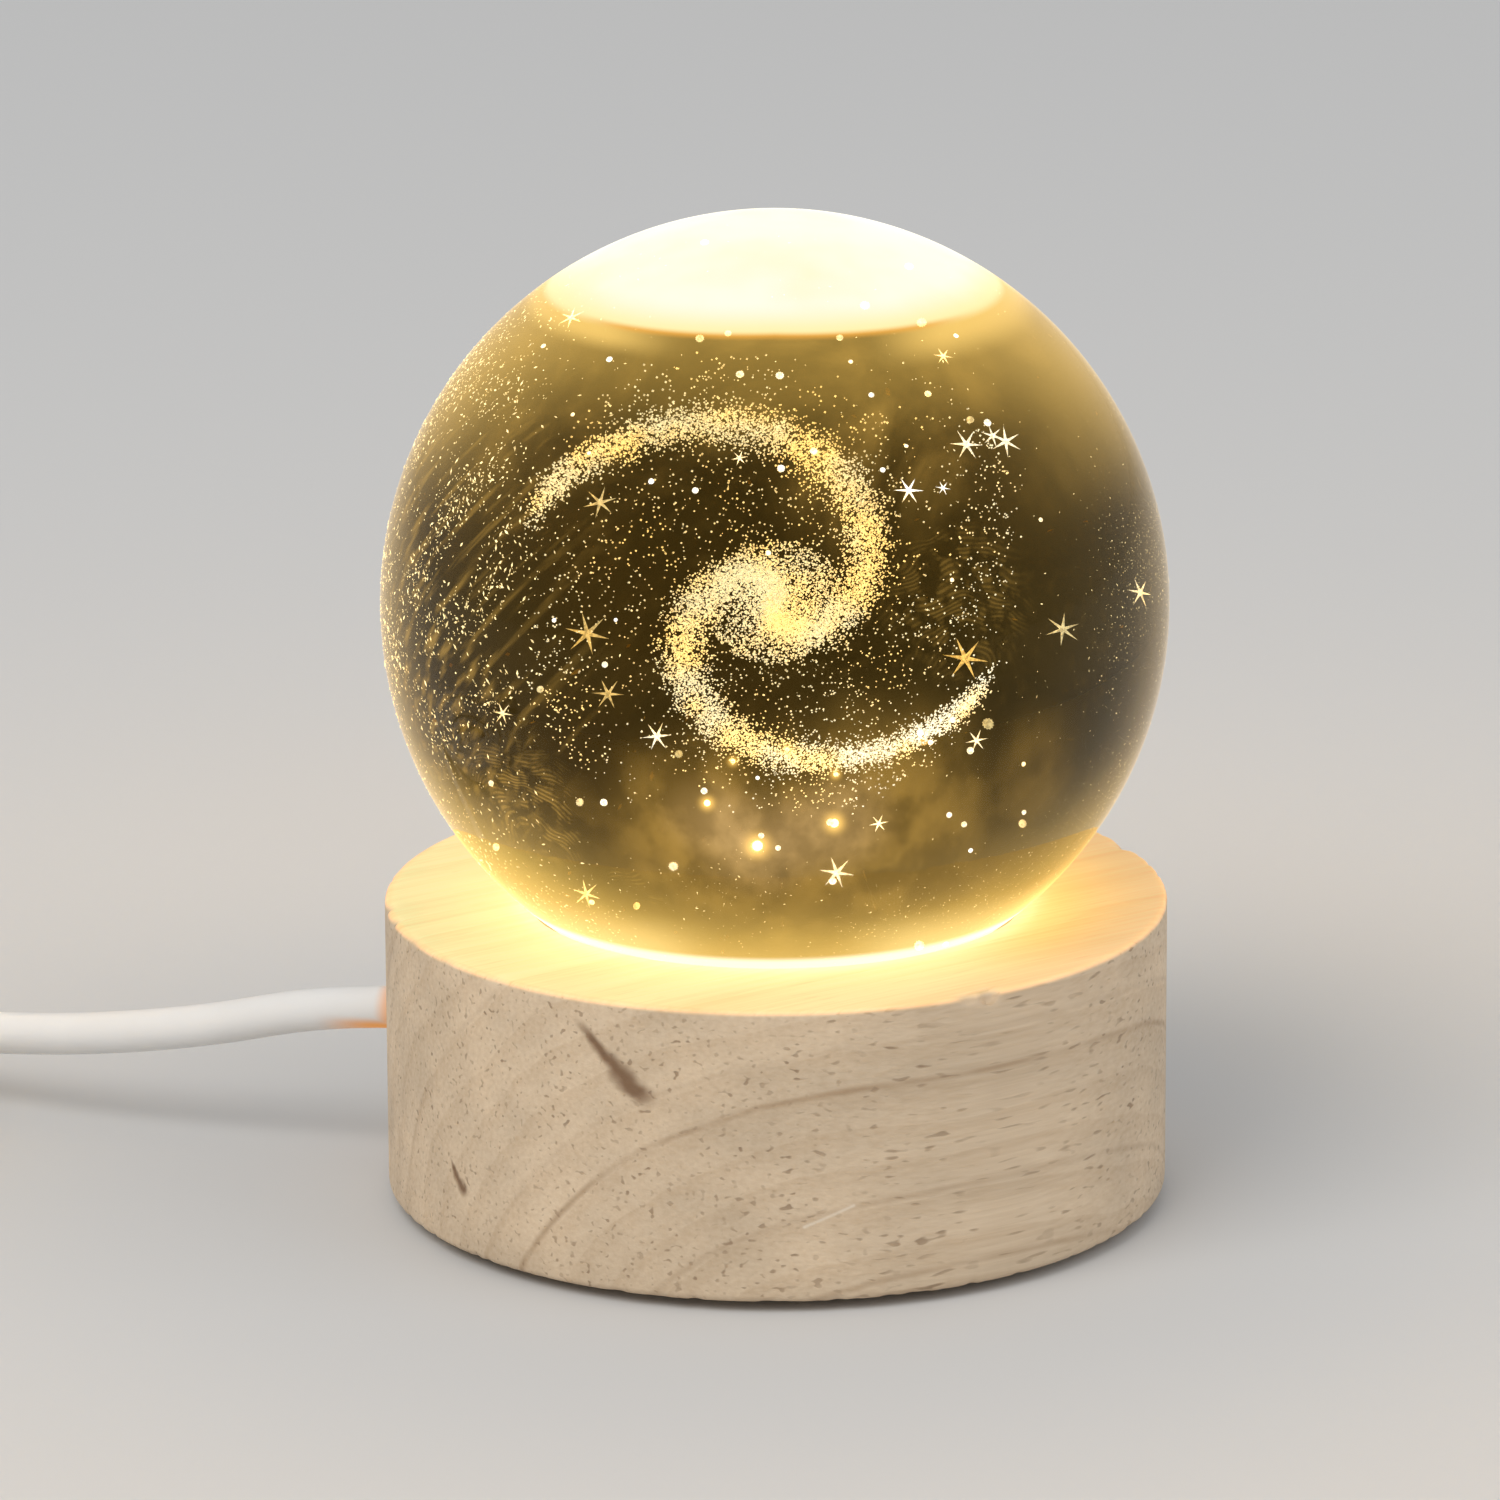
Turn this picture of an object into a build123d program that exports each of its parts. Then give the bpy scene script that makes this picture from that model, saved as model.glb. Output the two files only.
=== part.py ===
from build123d import *
import math
import os

# Crystal ball lamp: a loose glass ball on a turned wooden base that hides a ring of LEDs, fed by a USB lead.
# Millimetres, +Z up. The origin is the centre of the foot pad's underside. The viewer stands at -Y,
# and the lead leaves the base towards -X. Bearings are degrees from +X, anticlockwise from above.

# Glass ball and its seat
BALL_D = 60.0
SEAT_GAP = 0.12  # left between the ball and its seat
SEAT_DEPTH = 0.32  # how far the ground seat reaches below the base's top face

# Spiral engraved inside the glass: a heart shaped like a lens, and two flat arms that wind out of it
SPIRAL_R = 13.0
SPIRAL_WINDING = 320.0  # degrees that an arm turns from the middle to its tip
SPIRAL_OPENING = 0.55  # power that sets how fast an arm opens
SPIRAL_START = 0.18  # share of the radius where an arm begins, inside the heart
SPIRAL_TILT = 50.0
SPIRAL_LEAN = 14.0
SPIRAL_STEPS = 4
ARM_COUNT = 2
ARM_W = 2.0
ARM_T = 0.7
HEART_D = 6.8
HEART_T = 2.0
ENGRAVED_GAP = 0.03  # between the clouded glass of the spiral and the clear glass round it
SHARE_STEP = 1e-4  # of the radius, for the direction of an arm's line

# Wooden base
BASE_STAND_OUT = 0.0  # of the base's side past the ball's widest
BASE_H = 22.8
RECESS_D = 38.0
FLOOR_T = 4.0  # wood left under the recess
TOP_EDGE_R = 0.4
FOOT_EDGE_R = 0.6

# Foam pad under the base
PAD_T = 0.8
PAD_INSET = 3.0  # from the base's side to the pad's edge

# Circuit board, taped to the recess's floor
TAPE_T = 0.5
TAPE_INSET = 3.0  # from the board's edge to the tape's edge
BOARD_T = 1.2
BOARD_GAP = 1.0  # between the board's edge and the recess's wall

# LEDs in a ring, each a housing with a well of phosphor resin
LED_COUNT = 6
LED_BEARING = 17.5  # of the first LED
LED_INSET = 3.75  # from the board's edge to the LED's centre
LED_LENGTH = 3.5
LED_WIDTH = 2.8
LED_H = 0.8
LED_WALL = 0.35
LED_FLOOR_T = 0.3

# Chip resistors, one between each two LEDs and nearer to the centre
RESISTOR_STEP = 4.5  # from the LED circle in to the resistors' circle
RESISTOR_LENGTH = 2.0
RESISTOR_WIDTH = 1.25
RESISTOR_H = 0.55

# Lead, where it comes through the base's wall
CABLE_D = 3.3
HOLE_GAP = 0.2  # between the lead and its hole, all round
INLET_BEARING = 166.0
INLET_H = 11.4  # hole's axis above the base's underside
JACKET_INSIDE = 3.5  # jacket that stands into the recess

# Hot-melt bead round the lead at the hole's inner mouth
BEAD_R = 3.6
BEAD_SETBACK = 1.0  # bead's centre inside the recess's wall
BEAD_GAP = 0.03  # between the bead and what it sticks to

# Two cores of the lead, soldered to the board
CORE_D = 1.1
CORE_GAP = 0.2  # between the cores where they leave the jacket
CORE_STUB = 3.0  # straight length out of the jacket
CORE_RISE = 3.2  # height above the board where a core turns down
CORE_END_GAP = 0.1
JOINT_R = 5.0  # from the board's centre to the joints
JOINT_PITCH = 3.6
SOLDER_FOOT_D = 2.6
SOLDER_TOP_D = 1.6
SOLDER_H = 1.2
SOLDER_GAP = 0.02  # between a core and its solder

# Put-away coil of the lead: a lower layer winds in, climbs half a turn, and an upper layer winds out
COIL_X = -94.0
COIL_Y = 4.2
COIL_MEAN_D = 39.5
COIL_GAP = 0.55  # between turns and between layers
COIL_LAYER_TURNS = 3.25
COIL_CLIMB_TURNS = 0.5
COIL_BEARING = 90.0  # where the lead meets the coil
ARC_STEPS_PER_TURN = 4
WAY_STEP = 1e-4  # share of a turn, for the direction of the coil's line
GAP_STEPS_PER_TURN = 120  # points of each turn that the gap is measured on

# Tie round the coil's turns
TIE_BEARING = 25.0
TIE_W = 3.2
TIE_T = 0.5
TIE_GAP = 0.25  # between the tie and the turns
TIE_CORNER_R = 1.6
TIE_TAIL_L = 9.0

# Free stretches of the lead: points between its ends, placed by hand
LEAD_STUB = 6.0  # straight out of the hole
LEAD_LAST_RUN = 6.7  # straight into the coil
LEAD_POINTS = [(-44.5, 12.0, 9.4), (-55.0, 15.9, 7.5), (-65.5, 22.0, 5.9), (-75.0, 27.7, 3.7)]
TAIL_FIRST_RUN = 6.5  # straight out of the coil
TAIL_POINTS = [(-113.5, 29.5, 5.3), (-122.0, 25.9, 4.5), (-128.5, 19.6, 4.1)]
TAIL_LAST_POINTS = [(-132.2, 11.6), (-133.0, 4.4)]
ARC_SHARE = 0.45  # of the shorter run that an arc takes up

# USB-A plug at the lead's far end
PLUG_L = 20.0
PLUG_W = 15.5
PLUG_T = 8.0
PLUG_EDGE_R = 1.8
RELIEF_L = 9.0
RELIEF_WALL = 0.8  # round the lead at the thin end
RELIEF_STEP = 0.6  # from the plug's face in to the thick end
RELIEF_RIBS = 3
RIB_SLOT_W = 0.9
RIB_SLOT_DEPTH = 0.55
SHELL_L = 14.5  # that stands out of the plug's body
SHELL_SEAT = 4.0  # that sits in the plug's body
SHELL_W = 12.0
SHELL_H = 4.5
SHELL_WALL = 0.3
SHELL_CORNER_R = 0.6
SHELL_FIT = 0.04  # between the shell and the body's pocket
WINDOW_W = 2.5
WINDOW_L = 1.9
WINDOW_PITCH = 5.6
WINDOW_SETBACK = 5.2  # from the shell's mouth to the windows' centre
TONGUE_T = 1.9
TONGUE_FIT = 0.05  # between the tongue and the shell
TONGUE_SETBACK = 0.8  # from the shell's mouth to the tongue's tip
BLOCK_L = 5.0  # full-height root of the tongue
CONTACT_OFFSETS = (-3.5, -1.0, 1.0, 3.5)
CONTACT_W = 1.0
CONTACT_T = 0.25
CONTACT_L = 8.0

# Heights of the stack, from the surface that the lamp stands on
Z_WOOD = PAD_T
Z_TOP = Z_WOOD + BASE_H
Z_FLOOR = Z_WOOD + FLOOR_T
Z_BOARD = Z_FLOOR + TAPE_T
Z_BOARD_TOP = Z_BOARD + BOARD_T
Z_CABLE = Z_WOOD + INLET_H
BASE_D = BALL_D + 2 * BASE_STAND_OUT
SEAT_R = BALL_D / 2 + SEAT_GAP
Z_BALL = Z_TOP - SEAT_DEPTH + math.sqrt(SEAT_R**2 - (RECESS_D / 2) ** 2)

BOARD_D = RECESS_D - 2 * BOARD_GAP
LED_CIRCLE_R = BOARD_D / 2 - LED_INSET
JACKET_END_R = RECESS_D / 2 - JACKET_INSIDE
COIL_PITCH = CABLE_D + COIL_GAP
COIL_TURNS = 2 * COIL_LAYER_TURNS + COIL_CLIMB_TURNS
COIL_OUTER_R = COIL_MEAN_D / 2 + COIL_PITCH * COIL_LAYER_TURNS / 2
Z_COIL = TIE_T + TIE_GAP + CABLE_D / 2

UPRIGHT = (Align.CENTER, Align.CENTER, Align.MIN)


def bearing_way(degrees):
    """Level unit vector at a bearing."""
    return Vector(math.cos(math.radians(degrees)), math.sin(math.radians(degrees)), 0)


# Frame of the lead's hole: X along the wall, Y up, Z out of the base
INLET_WAY = bearing_way(INLET_BEARING)
INLET = Plane(origin=(0, 0, Z_CABLE), x_dir=bearing_way(INLET_BEARING + 90), z_dir=INLET_WAY)


def disc(diameter, thickness, height):
    """Round plate with its underside at a height."""
    return Pos(0, 0, height) * Cylinder(diameter / 2, thickness, align=UPRIGHT)


def on_circle(radius, bearing, height):
    """Place on a circle about the lamp's axis, with X pointing outwards."""
    return Pos(0, 0, height) * Rot(0, 0, bearing) * Pos(radius, 0, 0)


def corner_radii(points):
    """Largest arcs that the runs on both sides of each corner allow."""
    radii = []
    for before, corner, after in zip(points, points[1:], points[2:]):
        run_in = corner - before
        run_out = after - corner
        half_turn = math.radians(run_in.get_angle(run_out) / 2)
        radii.append(ARC_SHARE * min(run_in.length, run_out.length) / math.tan(half_turn))
    return radii


def rounded_line(points):
    """Straight runs through the points, joined by tangent arcs."""
    return FilletPolyline(*points, radius=corner_radii(points))


def tube(line, diameter):
    """Round rod along a line."""
    start = Plane(origin=line @ 0, z_dir=line % 0)
    return sweep(start * Circle(diameter / 2), path=line)


def spiral_point(share):
    """Line of an arm in the spiral's own plane, by the share of the spiral's radius."""
    return bearing_way(SPIRAL_WINDING * share**SPIRAL_OPENING) * SPIRAL_R * share


def spiral_pace(share):
    """How far and which way an arm's line goes for each share of the radius."""
    return (spiral_point(share + SHARE_STEP) - spiral_point(share - SHARE_STEP)) / (2 * SHARE_STEP)


def spiral_arm(grow):
    """Flat band along an arm's line, its section and its tip grown by a margin."""
    tip = 1 + grow / spiral_pace(1).length
    first, last = [end**SPIRAL_OPENING for end in (SPIRAL_START, tip)]
    turned = [first + (last - first) * step / SPIRAL_STEPS for step in range(SPIRAL_STEPS + 1)]
    shares = [part ** (1 / SPIRAL_OPENING) for part in turned]
    edges = []
    for share, following in zip(shares, shares[1:]):
        ways = [spiral_pace(end).normalized() for end in (share, following)]
        edges += biarc(spiral_point(share), ways[0], spiral_point(following), ways[1])
    start_way = spiral_pace(shares[0]).normalized()
    start = Plane(origin=spiral_point(shares[0]), x_dir=start_way.cross(Vector(0, 0, 1)), z_dir=start_way)
    return sweep(start * Rectangle(ARM_W + 2 * grow, ARM_T + 2 * grow), path=Wire(edges))


def engraved_spiral(grow=0.0):
    """Glass that a laser has clouded, grown by a margin on all sides."""
    bulge_r = ((HEART_D / 2) ** 2 + (HEART_T / 2) ** 2) / HEART_T
    offset = bulge_r - HEART_T / 2
    form = Pos(0, 0, offset) * Sphere(bulge_r + grow) & Pos(0, 0, -offset) * Sphere(bulge_r + grow)
    for arm in range(ARM_COUNT):
        form += Rot(0, 0, arm * 360 / ARM_COUNT) * spiral_arm(grow)
    return Pos(0, 0, Z_BALL) * Rot(0, -SPIRAL_LEAN, 0) * Rot(SPIRAL_TILT, 0, 0) * form


def crystal_ball():
    """Solid ball of clear glass round the spiral."""
    return Pos(0, 0, Z_BALL) * Sphere(BALL_D / 2) - engraved_spiral(ENGRAVED_GAP)


def wood_base():
    """Turned puck with a blind recess, a seat ground for the ball and a radial hole for the lead."""
    puck = disc(BASE_D, BASE_H, Z_WOOD)
    rims = puck.edges().filter_by(GeomType.CIRCLE).sort_by(Axis.Z)
    puck = fillet(rims[-1], TOP_EDGE_R)
    rims = puck.edges().filter_by(GeomType.CIRCLE).sort_by(Axis.Z)
    puck = fillet(rims[0], FOOT_EDGE_R)
    recess = disc(RECESS_D, BASE_H, Z_FLOOR)
    seat = Pos(0, 0, Z_BALL) * Sphere(SEAT_R)
    hole = INLET * Cylinder(CABLE_D / 2 + HOLE_GAP, BASE_D, align=UPRIGHT)
    return puck - recess - seat - hole


def foot_pad():
    return disc(BASE_D - 2 * PAD_INSET, PAD_T, 0)


def board_tape():
    return disc(BOARD_D - 2 * TAPE_INSET, TAPE_T, Z_FLOOR)


def led_board():
    return disc(BOARD_D, BOARD_T, Z_BOARD)


def led_well():
    """Resin that fills an LED's housing to its brim."""
    well = Box(LED_WIDTH - 2 * LED_WALL, LED_LENGTH - 2 * LED_WALL, LED_H - LED_FLOOR_T, align=UPRIGHT)
    return Pos(0, 0, LED_FLOOR_T) * well


def led_housing():
    return Box(LED_WIDTH, LED_LENGTH, LED_H, align=UPRIGHT) - led_well()


def resistor():
    return Box(RESISTOR_WIDTH, RESISTOR_LENGTH, RESISTOR_H, align=UPRIGHT)


def cable_inlet():
    """Stretch of the lead that the base's wall holds."""
    held = Cylinder(CABLE_D / 2, BASE_D / 2 - JACKET_END_R, align=UPRIGHT)
    return INLET * Pos(0, 0, JACKET_END_R) * held


def glue_bead():
    bead = INLET * Pos(0, 0, RECESS_D / 2 - BEAD_SETBACK) * Sphere(BEAD_R)
    room = disc(RECESS_D - 2 * BEAD_GAP, BASE_H, Z_FLOOR)
    jacket = INLET * Cylinder(CABLE_D / 2 + BEAD_GAP, BASE_D / 2, align=UPRIGHT)
    return (bead & room) - jacket


def core_line(side):
    """Route of a core from the jacket's end to its joint on the board."""
    beside = side * (CORE_D + CORE_GAP) / 2
    joint_x = side * JOINT_PITCH / 2
    turn_y = Z_BOARD_TOP + CORE_RISE - Z_CABLE
    end_y = Z_BOARD_TOP + CORE_END_GAP - Z_CABLE
    local_points = [
        (beside, 0, JACKET_END_R),
        (beside, 0, JACKET_END_R - CORE_STUB),
        (joint_x, turn_y, JOINT_R),
        (joint_x, end_y, JOINT_R),
    ]
    return rounded_line([INLET.from_local_coords(Vector(*point)) for point in local_points])


def core(side):
    return tube(core_line(side), CORE_D)


def solder_joint(side):
    """Cone of solder on the board, round a core's end."""
    foot = INLET.from_local_coords(Vector(side * JOINT_PITCH / 2, Z_BOARD_TOP - Z_CABLE, JOINT_R))
    cone = Pos(foot) * Cone(SOLDER_FOOT_D / 2, SOLDER_TOP_D / 2, SOLDER_H, align=UPRIGHT)
    return cone - tube(core_line(side), CORE_D + 2 * SOLDER_GAP)


def coil_point(turn):
    """Centre line of the coiled lead, in turns from where the lead meets the coil."""
    climb = min(max((turn - COIL_LAYER_TURNS) / COIL_CLIMB_TURNS, 0.0), 1.0)
    inwards = min(turn, COIL_LAYER_TURNS)
    outwards = max(turn - COIL_LAYER_TURNS - COIL_CLIMB_TURNS, 0.0)
    dip = COIL_CLIMB_TURNS * climb * (1 - climb)
    radius = COIL_OUTER_R - COIL_PITCH * (inwards - outwards + dip)
    rise = COIL_PITCH * climb**2 * (3 - 2 * climb)
    return Vector(COIL_X, COIL_Y, Z_COIL + rise) + bearing_way(COIL_BEARING + 360 * turn) * radius


def coil_way(turn):
    """Direction of the coil's line."""
    return (coil_point(turn + WAY_STEP) - coil_point(turn - WAY_STEP)).normalized()


def biarc(start, start_way, end, end_way):
    """Two arcs that leave one point and reach another in given directions, and meet smoothly."""
    span = end - start
    bend = 2 * (1 - start_way.dot(end_way))
    along = span.dot(start_way + end_way)
    reach = (math.sqrt(along**2 + bend * span.dot(span)) - along) / bend
    leave = start + start_way * reach
    arrive = end - end_way * reach
    middle = (leave + arrive) / 2
    middle_way = (arrive - leave).normalized()
    return [
        Edge.make_tangent_arc(start, start_way, middle),
        Edge.make_tangent_arc(middle, middle_way, end),
    ]


def coil_ends():
    """The coil's two end faces: a straight diameter of lead before and after the turns."""
    first = coil_point(0) - coil_way(0) * CABLE_D
    last = coil_point(COIL_TURNS) + coil_way(COIL_TURNS) * CABLE_D
    return first, last


def coil_line():
    first, last = coil_ends()
    steps = round(COIL_TURNS * ARC_STEPS_PER_TURN)
    turns = [COIL_TURNS * step / steps for step in range(steps + 1)]
    edges = [Edge.make_line(first, coil_point(0))]
    for turn, next_turn in zip(turns, turns[1:]):
        edges += biarc(coil_point(turn), coil_way(turn), coil_point(next_turn), coil_way(next_turn))
    edges.append(Edge.make_line(coil_point(COIL_TURNS), last))
    return Wire(edges)


def coil_gap():
    """Least gap between the coil's turns, on points of its line at least half a turn apart."""
    steps = round(COIL_TURNS * GAP_STEPS_PER_TURN)
    line = coil_line()
    points = [line @ (step / steps) for step in range(steps + 1)]
    apart = GAP_STEPS_PER_TURN // 2
    nearest = min((b - a).length for i, a in enumerate(points) for b in points[i + apart :])
    return nearest - CABLE_D


def lead_line():
    """Lead from the hole's mouth down to the coil."""
    mouth = INLET.from_local_coords(Vector(0, 0, BASE_D / 2))
    first, _ = coil_ends()
    points = [mouth, mouth + INLET_WAY * LEAD_STUB]
    points += [Vector(*point) for point in LEAD_POINTS]
    points += [first - coil_way(0) * LEAD_LAST_RUN, first]
    return rounded_line(points), corner_radii(points)


def tail_points():
    """Lead from the coil to the plug, which lies flat beside the coil."""
    _, last = coil_ends()
    points = [last, last + coil_way(COIL_TURNS) * TAIL_FIRST_RUN]
    points += [Vector(*point) for point in TAIL_POINTS]
    points += [Vector(x, y, PLUG_T / 2) for x, y in TAIL_LAST_POINTS]
    return points


def coil_tie():
    """Band round all the turns of the coil, with its two ends laid together inside the coil."""
    top = Z_COIL + COIL_PITCH + CABLE_D / 2 + TIE_GAP + TIE_T
    half_width = (COIL_PITCH * COIL_LAYER_TURNS + CABLE_D) / 2 + TIE_GAP + TIE_T
    out = bearing_way(TIE_BEARING)
    middle = Vector(COIL_X, COIL_Y, top / 2) + out * COIL_MEAN_D / 2
    across = Plane(origin=middle, x_dir=out, z_dir=bearing_way(TIE_BEARING - 90))
    outline = RectangleRounded(2 * half_width, top, TIE_CORNER_R)
    inside = RectangleRounded(2 * (half_width - TIE_T), top - 2 * TIE_T, TIE_CORNER_R - TIE_T)
    ends = Rectangle(TIE_TAIL_L, 2 * TIE_T, align=(Align.MAX, Align.CENTER))
    tail = Pos(TIE_T / 2 - half_width, 0) * ends
    return extrude(across * (outline - inside + tail), amount=TIE_W / 2, both=True)


def plug_frame():
    """Frame of the plug: X across, Y up, Z the way it goes into a socket, from the lead's end."""
    before, end = tail_points()[-2:]
    way = (end - before).normalized()
    return Plane(origin=end, x_dir=Vector(0, 0, 1).cross(way), z_dir=way)


def plug_relief():
    """Flexible sleeve that widens from the lead to the plug, with slots round it."""
    thin_r = CABLE_D / 2 + RELIEF_WALL
    thick_r = PLUG_T / 2 - RELIEF_STEP
    sleeve = Cone(thin_r, thick_r, RELIEF_L, align=UPRIGHT)
    for rib in range(RELIEF_RIBS):
        along = RELIEF_L * (rib + 1) / (RELIEF_RIBS + 1)
        core_r = thin_r + (thick_r - thin_r) * along / RELIEF_L - RIB_SLOT_DEPTH
        slot = Cylinder(PLUG_T, RIB_SLOT_W) - Cylinder(core_r, RIB_SLOT_W)
        sleeve -= Pos(0, 0, along) * slot
    return plug_frame() * sleeve


def shell_outline(grow):
    """Outer section of the plug's metal shell, grown or shrunk."""
    return RectangleRounded(SHELL_W + 2 * grow, SHELL_H + 2 * grow, SHELL_CORNER_R + grow)


def plug_body():
    block = Box(PLUG_W, PLUG_T, PLUG_L, align=UPRIGHT)
    block = fillet(block.edges(), PLUG_EDGE_R)
    pocket = Pos(0, 0, PLUG_L - SHELL_SEAT) * extrude(shell_outline(SHELL_FIT), amount=SHELL_SEAT)
    return plug_frame() * Pos(0, 0, RELIEF_L) * (block - pocket)


def shell_frame():
    """Frame at the inner end of the metal shell."""
    return plug_frame() * Pos(0, 0, RELIEF_L + PLUG_L - SHELL_SEAT)


def plug_shell():
    """Folded metal sleeve with two latch windows in each broad face."""
    length = SHELL_SEAT + SHELL_L
    sleeve = extrude(shell_outline(0) - shell_outline(-SHELL_WALL), amount=length)
    for side in (-1, 1):
        window = Box(WINDOW_W, 2 * SHELL_H, WINDOW_L)
        sleeve -= Pos(side * WINDOW_PITCH / 2, 0, length - WINDOW_SETBACK) * window
    return shell_frame() * sleeve


def plug_tongue():
    """Insulator: a block that fills the shell's root, and a tongue along its lower wall."""
    room_w = SHELL_W - 2 * (SHELL_WALL + TONGUE_FIT)
    room_h = SHELL_H - 2 * (SHELL_WALL + TONGUE_FIT)
    room_r = SHELL_CORNER_R - SHELL_WALL
    reach = SHELL_SEAT + SHELL_L - TONGUE_SETBACK
    filled = extrude(RectangleRounded(room_w, room_h, room_r), amount=reach)
    gap = Box(SHELL_W, SHELL_H, reach, align=(Align.CENTER, Align.MIN, Align.MIN))
    return shell_frame() * (filled - Pos(0, TONGUE_T - room_h / 2, BLOCK_L) * gap)


def plug_contacts():
    """Four strips that lie on the tongue."""
    tongue_top = TONGUE_T - SHELL_H / 2 + SHELL_WALL + TONGUE_FIT
    strip = Box(CONTACT_W, CONTACT_T, CONTACT_L, align=(Align.CENTER, Align.MIN, Align.MIN))
    strips = [Pos(x, tongue_top, BLOCK_L) * strip for x in CONTACT_OFFSETS]
    return shell_frame() * Compound(children=strips)


os.makedirs("parts", exist_ok=True)


def write(name, shape):
    export_step(shape, f"parts/{name}.step")


write("crystal_ball", crystal_ball())
write("engraved_spiral", engraved_spiral())
write("wood_base", wood_base())
write("foot_pad", foot_pad())
write("board_tape", board_tape())
write("led_board", led_board())

for index in range(LED_COUNT):
    led_bearing = LED_BEARING + index * 360 / LED_COUNT
    led_place = on_circle(LED_CIRCLE_R, led_bearing, Z_BOARD_TOP)
    write(f"led_housing_{index + 1}", led_place * led_housing())
    write(f"led_phosphor_{index + 1}", led_place * led_well())
    between = led_bearing + 180 / LED_COUNT
    resistor_place = on_circle(LED_CIRCLE_R - RESISTOR_STEP, between, Z_BOARD_TOP)
    write(f"resistor_{index + 1}", resistor_place * resistor())

for sign, side in (("positive", 1), ("negative", -1)):
    write(f"wire_{sign}", core(side))
    write(f"solder_{sign}", solder_joint(side))

write("cable_inlet", cable_inlet())
write("glue_bead", glue_bead())

lead, lead_radii = lead_line()
tail = rounded_line(tail_points())
coil = coil_line()
for name, line in (("cable_lead", lead), ("cable_coil", coil), ("cable_tail", tail)):
    rod = tube(line, CABLE_D)
    section = math.pi * CABLE_D**2 / 4
    print(name, "length", round(line.length, 1), "volume share", round(rod.volume / (section * line.length), 4))
    write(name, rod)
print("lead radii", [round(radius, 1) for radius in lead_radii])
print("tail radii", [round(radius, 1) for radius in corner_radii(tail_points())])
print("least gap between the coil's turns", round(coil_gap(), 3))
write("coil_tie", coil_tie())

write("plug_relief", plug_relief())
write("plug_body", plug_body())
write("plug_shell", plug_shell())
write("plug_tongue", plug_tongue())
write("plug_contacts", plug_contacts())
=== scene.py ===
# Crystal ball lamp: a solid glass ball on a turned wooden base, lit from below by six small LEDs
# and fed by a thin white lead with a USB plug. Metres, Z up, the foot stands on z = 0.
import math

import bmesh
import bpy
from mathutils import Matrix, Vector, noise


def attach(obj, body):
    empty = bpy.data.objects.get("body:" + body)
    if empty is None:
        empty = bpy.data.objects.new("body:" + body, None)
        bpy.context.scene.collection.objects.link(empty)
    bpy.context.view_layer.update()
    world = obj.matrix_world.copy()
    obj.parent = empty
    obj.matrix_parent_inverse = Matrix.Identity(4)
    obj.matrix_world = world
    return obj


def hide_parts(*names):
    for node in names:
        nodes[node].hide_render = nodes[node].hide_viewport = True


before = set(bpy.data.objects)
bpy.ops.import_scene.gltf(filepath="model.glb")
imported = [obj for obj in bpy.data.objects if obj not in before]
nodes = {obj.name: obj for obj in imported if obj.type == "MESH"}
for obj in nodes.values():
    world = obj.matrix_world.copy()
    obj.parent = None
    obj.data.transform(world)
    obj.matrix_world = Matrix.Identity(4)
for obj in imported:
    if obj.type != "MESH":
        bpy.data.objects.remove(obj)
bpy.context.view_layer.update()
scene = bpy.context.scene

# Wooden base
# A puck turned from pale, close-grained hardwood and sanded, with a recess bored in its top for the
# lights and a hole drilled through its left side for the lead. Its top edge is a little torn, and the
# top is painted with a warm glow next to the seat, in place of light that leaks out under the ball.
MM = 0.001
BASE_R = 30.0
BASE_BOTTOM = 0.8
BASE_TOP = 23.6
FOOT_EDGE_R = 0.6
TOP_EDGE_R = 0.4
SEAT_R = 19.39
SEAT_BOTTOM = 23.28
RECESS_R = 19.0
RECESS_FLOOR = 4.8
HOLE_D = 3.7
CABLE_AXIS_Z = 12.2
CABLE_BEARING = math.radians(166)
TURN_STEPS = 600
# Chips of the top edge: bearing and half width in degrees, depth
CHIPS = (
    (302.0, 1.4, 1.0),
    (298.5, 2.0, 0.55),
    (186.0, 2.0, 0.26),
    (193.0, 1.4, 0.34),
    (203.0, 2.6, 0.22),
    (214.0, 1.8, 0.2),
    (226.0, 2.2, 0.16),
    (24.0, 2.0, 0.4),
    (88.0, 2.8, 0.3),
    (131.0, 1.8, 0.4),
)
CHIP_REACH = 0.7
CHIP_IN = 0.45
CHIP_DOWN = 0.9
EDGE_TEAR = 0.14
FOOT_TEAR = 0.17
TEARS_ROUND = 30
TEARS_UP = 0.8
# Distances from the top's corner at which the skin has its own rings of points
EDGE_STEPS = (1.6, 1.1, 0.75)
# The drill for the lead's hole: its length, how far its middle is from the base's axis
DRILL_L = 20.0
DRILL_MIDDLE = 26.0


def fed(made, inputs):
    """A node's inputs, named or numbered, each take a value or another node's output."""
    for key, value in dict(inputs).items():
        if isinstance(value, bpy.types.NodeSocket):
            made.id_data.links.new(value, made.inputs[key])
        else:
            made.inputs[key].default_value = value


def node_in(tree, kind, inputs=(), **settings):
    """One new node of a tree."""
    made = tree.nodes.new(kind)
    for name, value in settings.items():
        setattr(made, name, value)
    fed(made, inputs)
    return made


def first_of(tree, kind, inputs=(), **settings):
    """What a new node puts out first."""
    return node_in(tree, kind, inputs, **settings).outputs[0]


def worked(kind, operation, values):
    """A new node that does a sum, in the tree that its values come from."""
    tree = next(value.id_data for value in values if isinstance(value, bpy.types.NodeSocket))
    return node_in(tree, kind, enumerate(values), operation=operation)


def sum_in(operation, *values):
    """The result of a Math node."""
    return worked("ShaderNodeMath", operation, values).outputs[0]


def in_turn(operation, values):
    """A sum over two or more values, one after the other."""
    total = values[0]
    for value in values[1:]:
        total = sum_in(operation, total, value)
    return total


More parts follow.
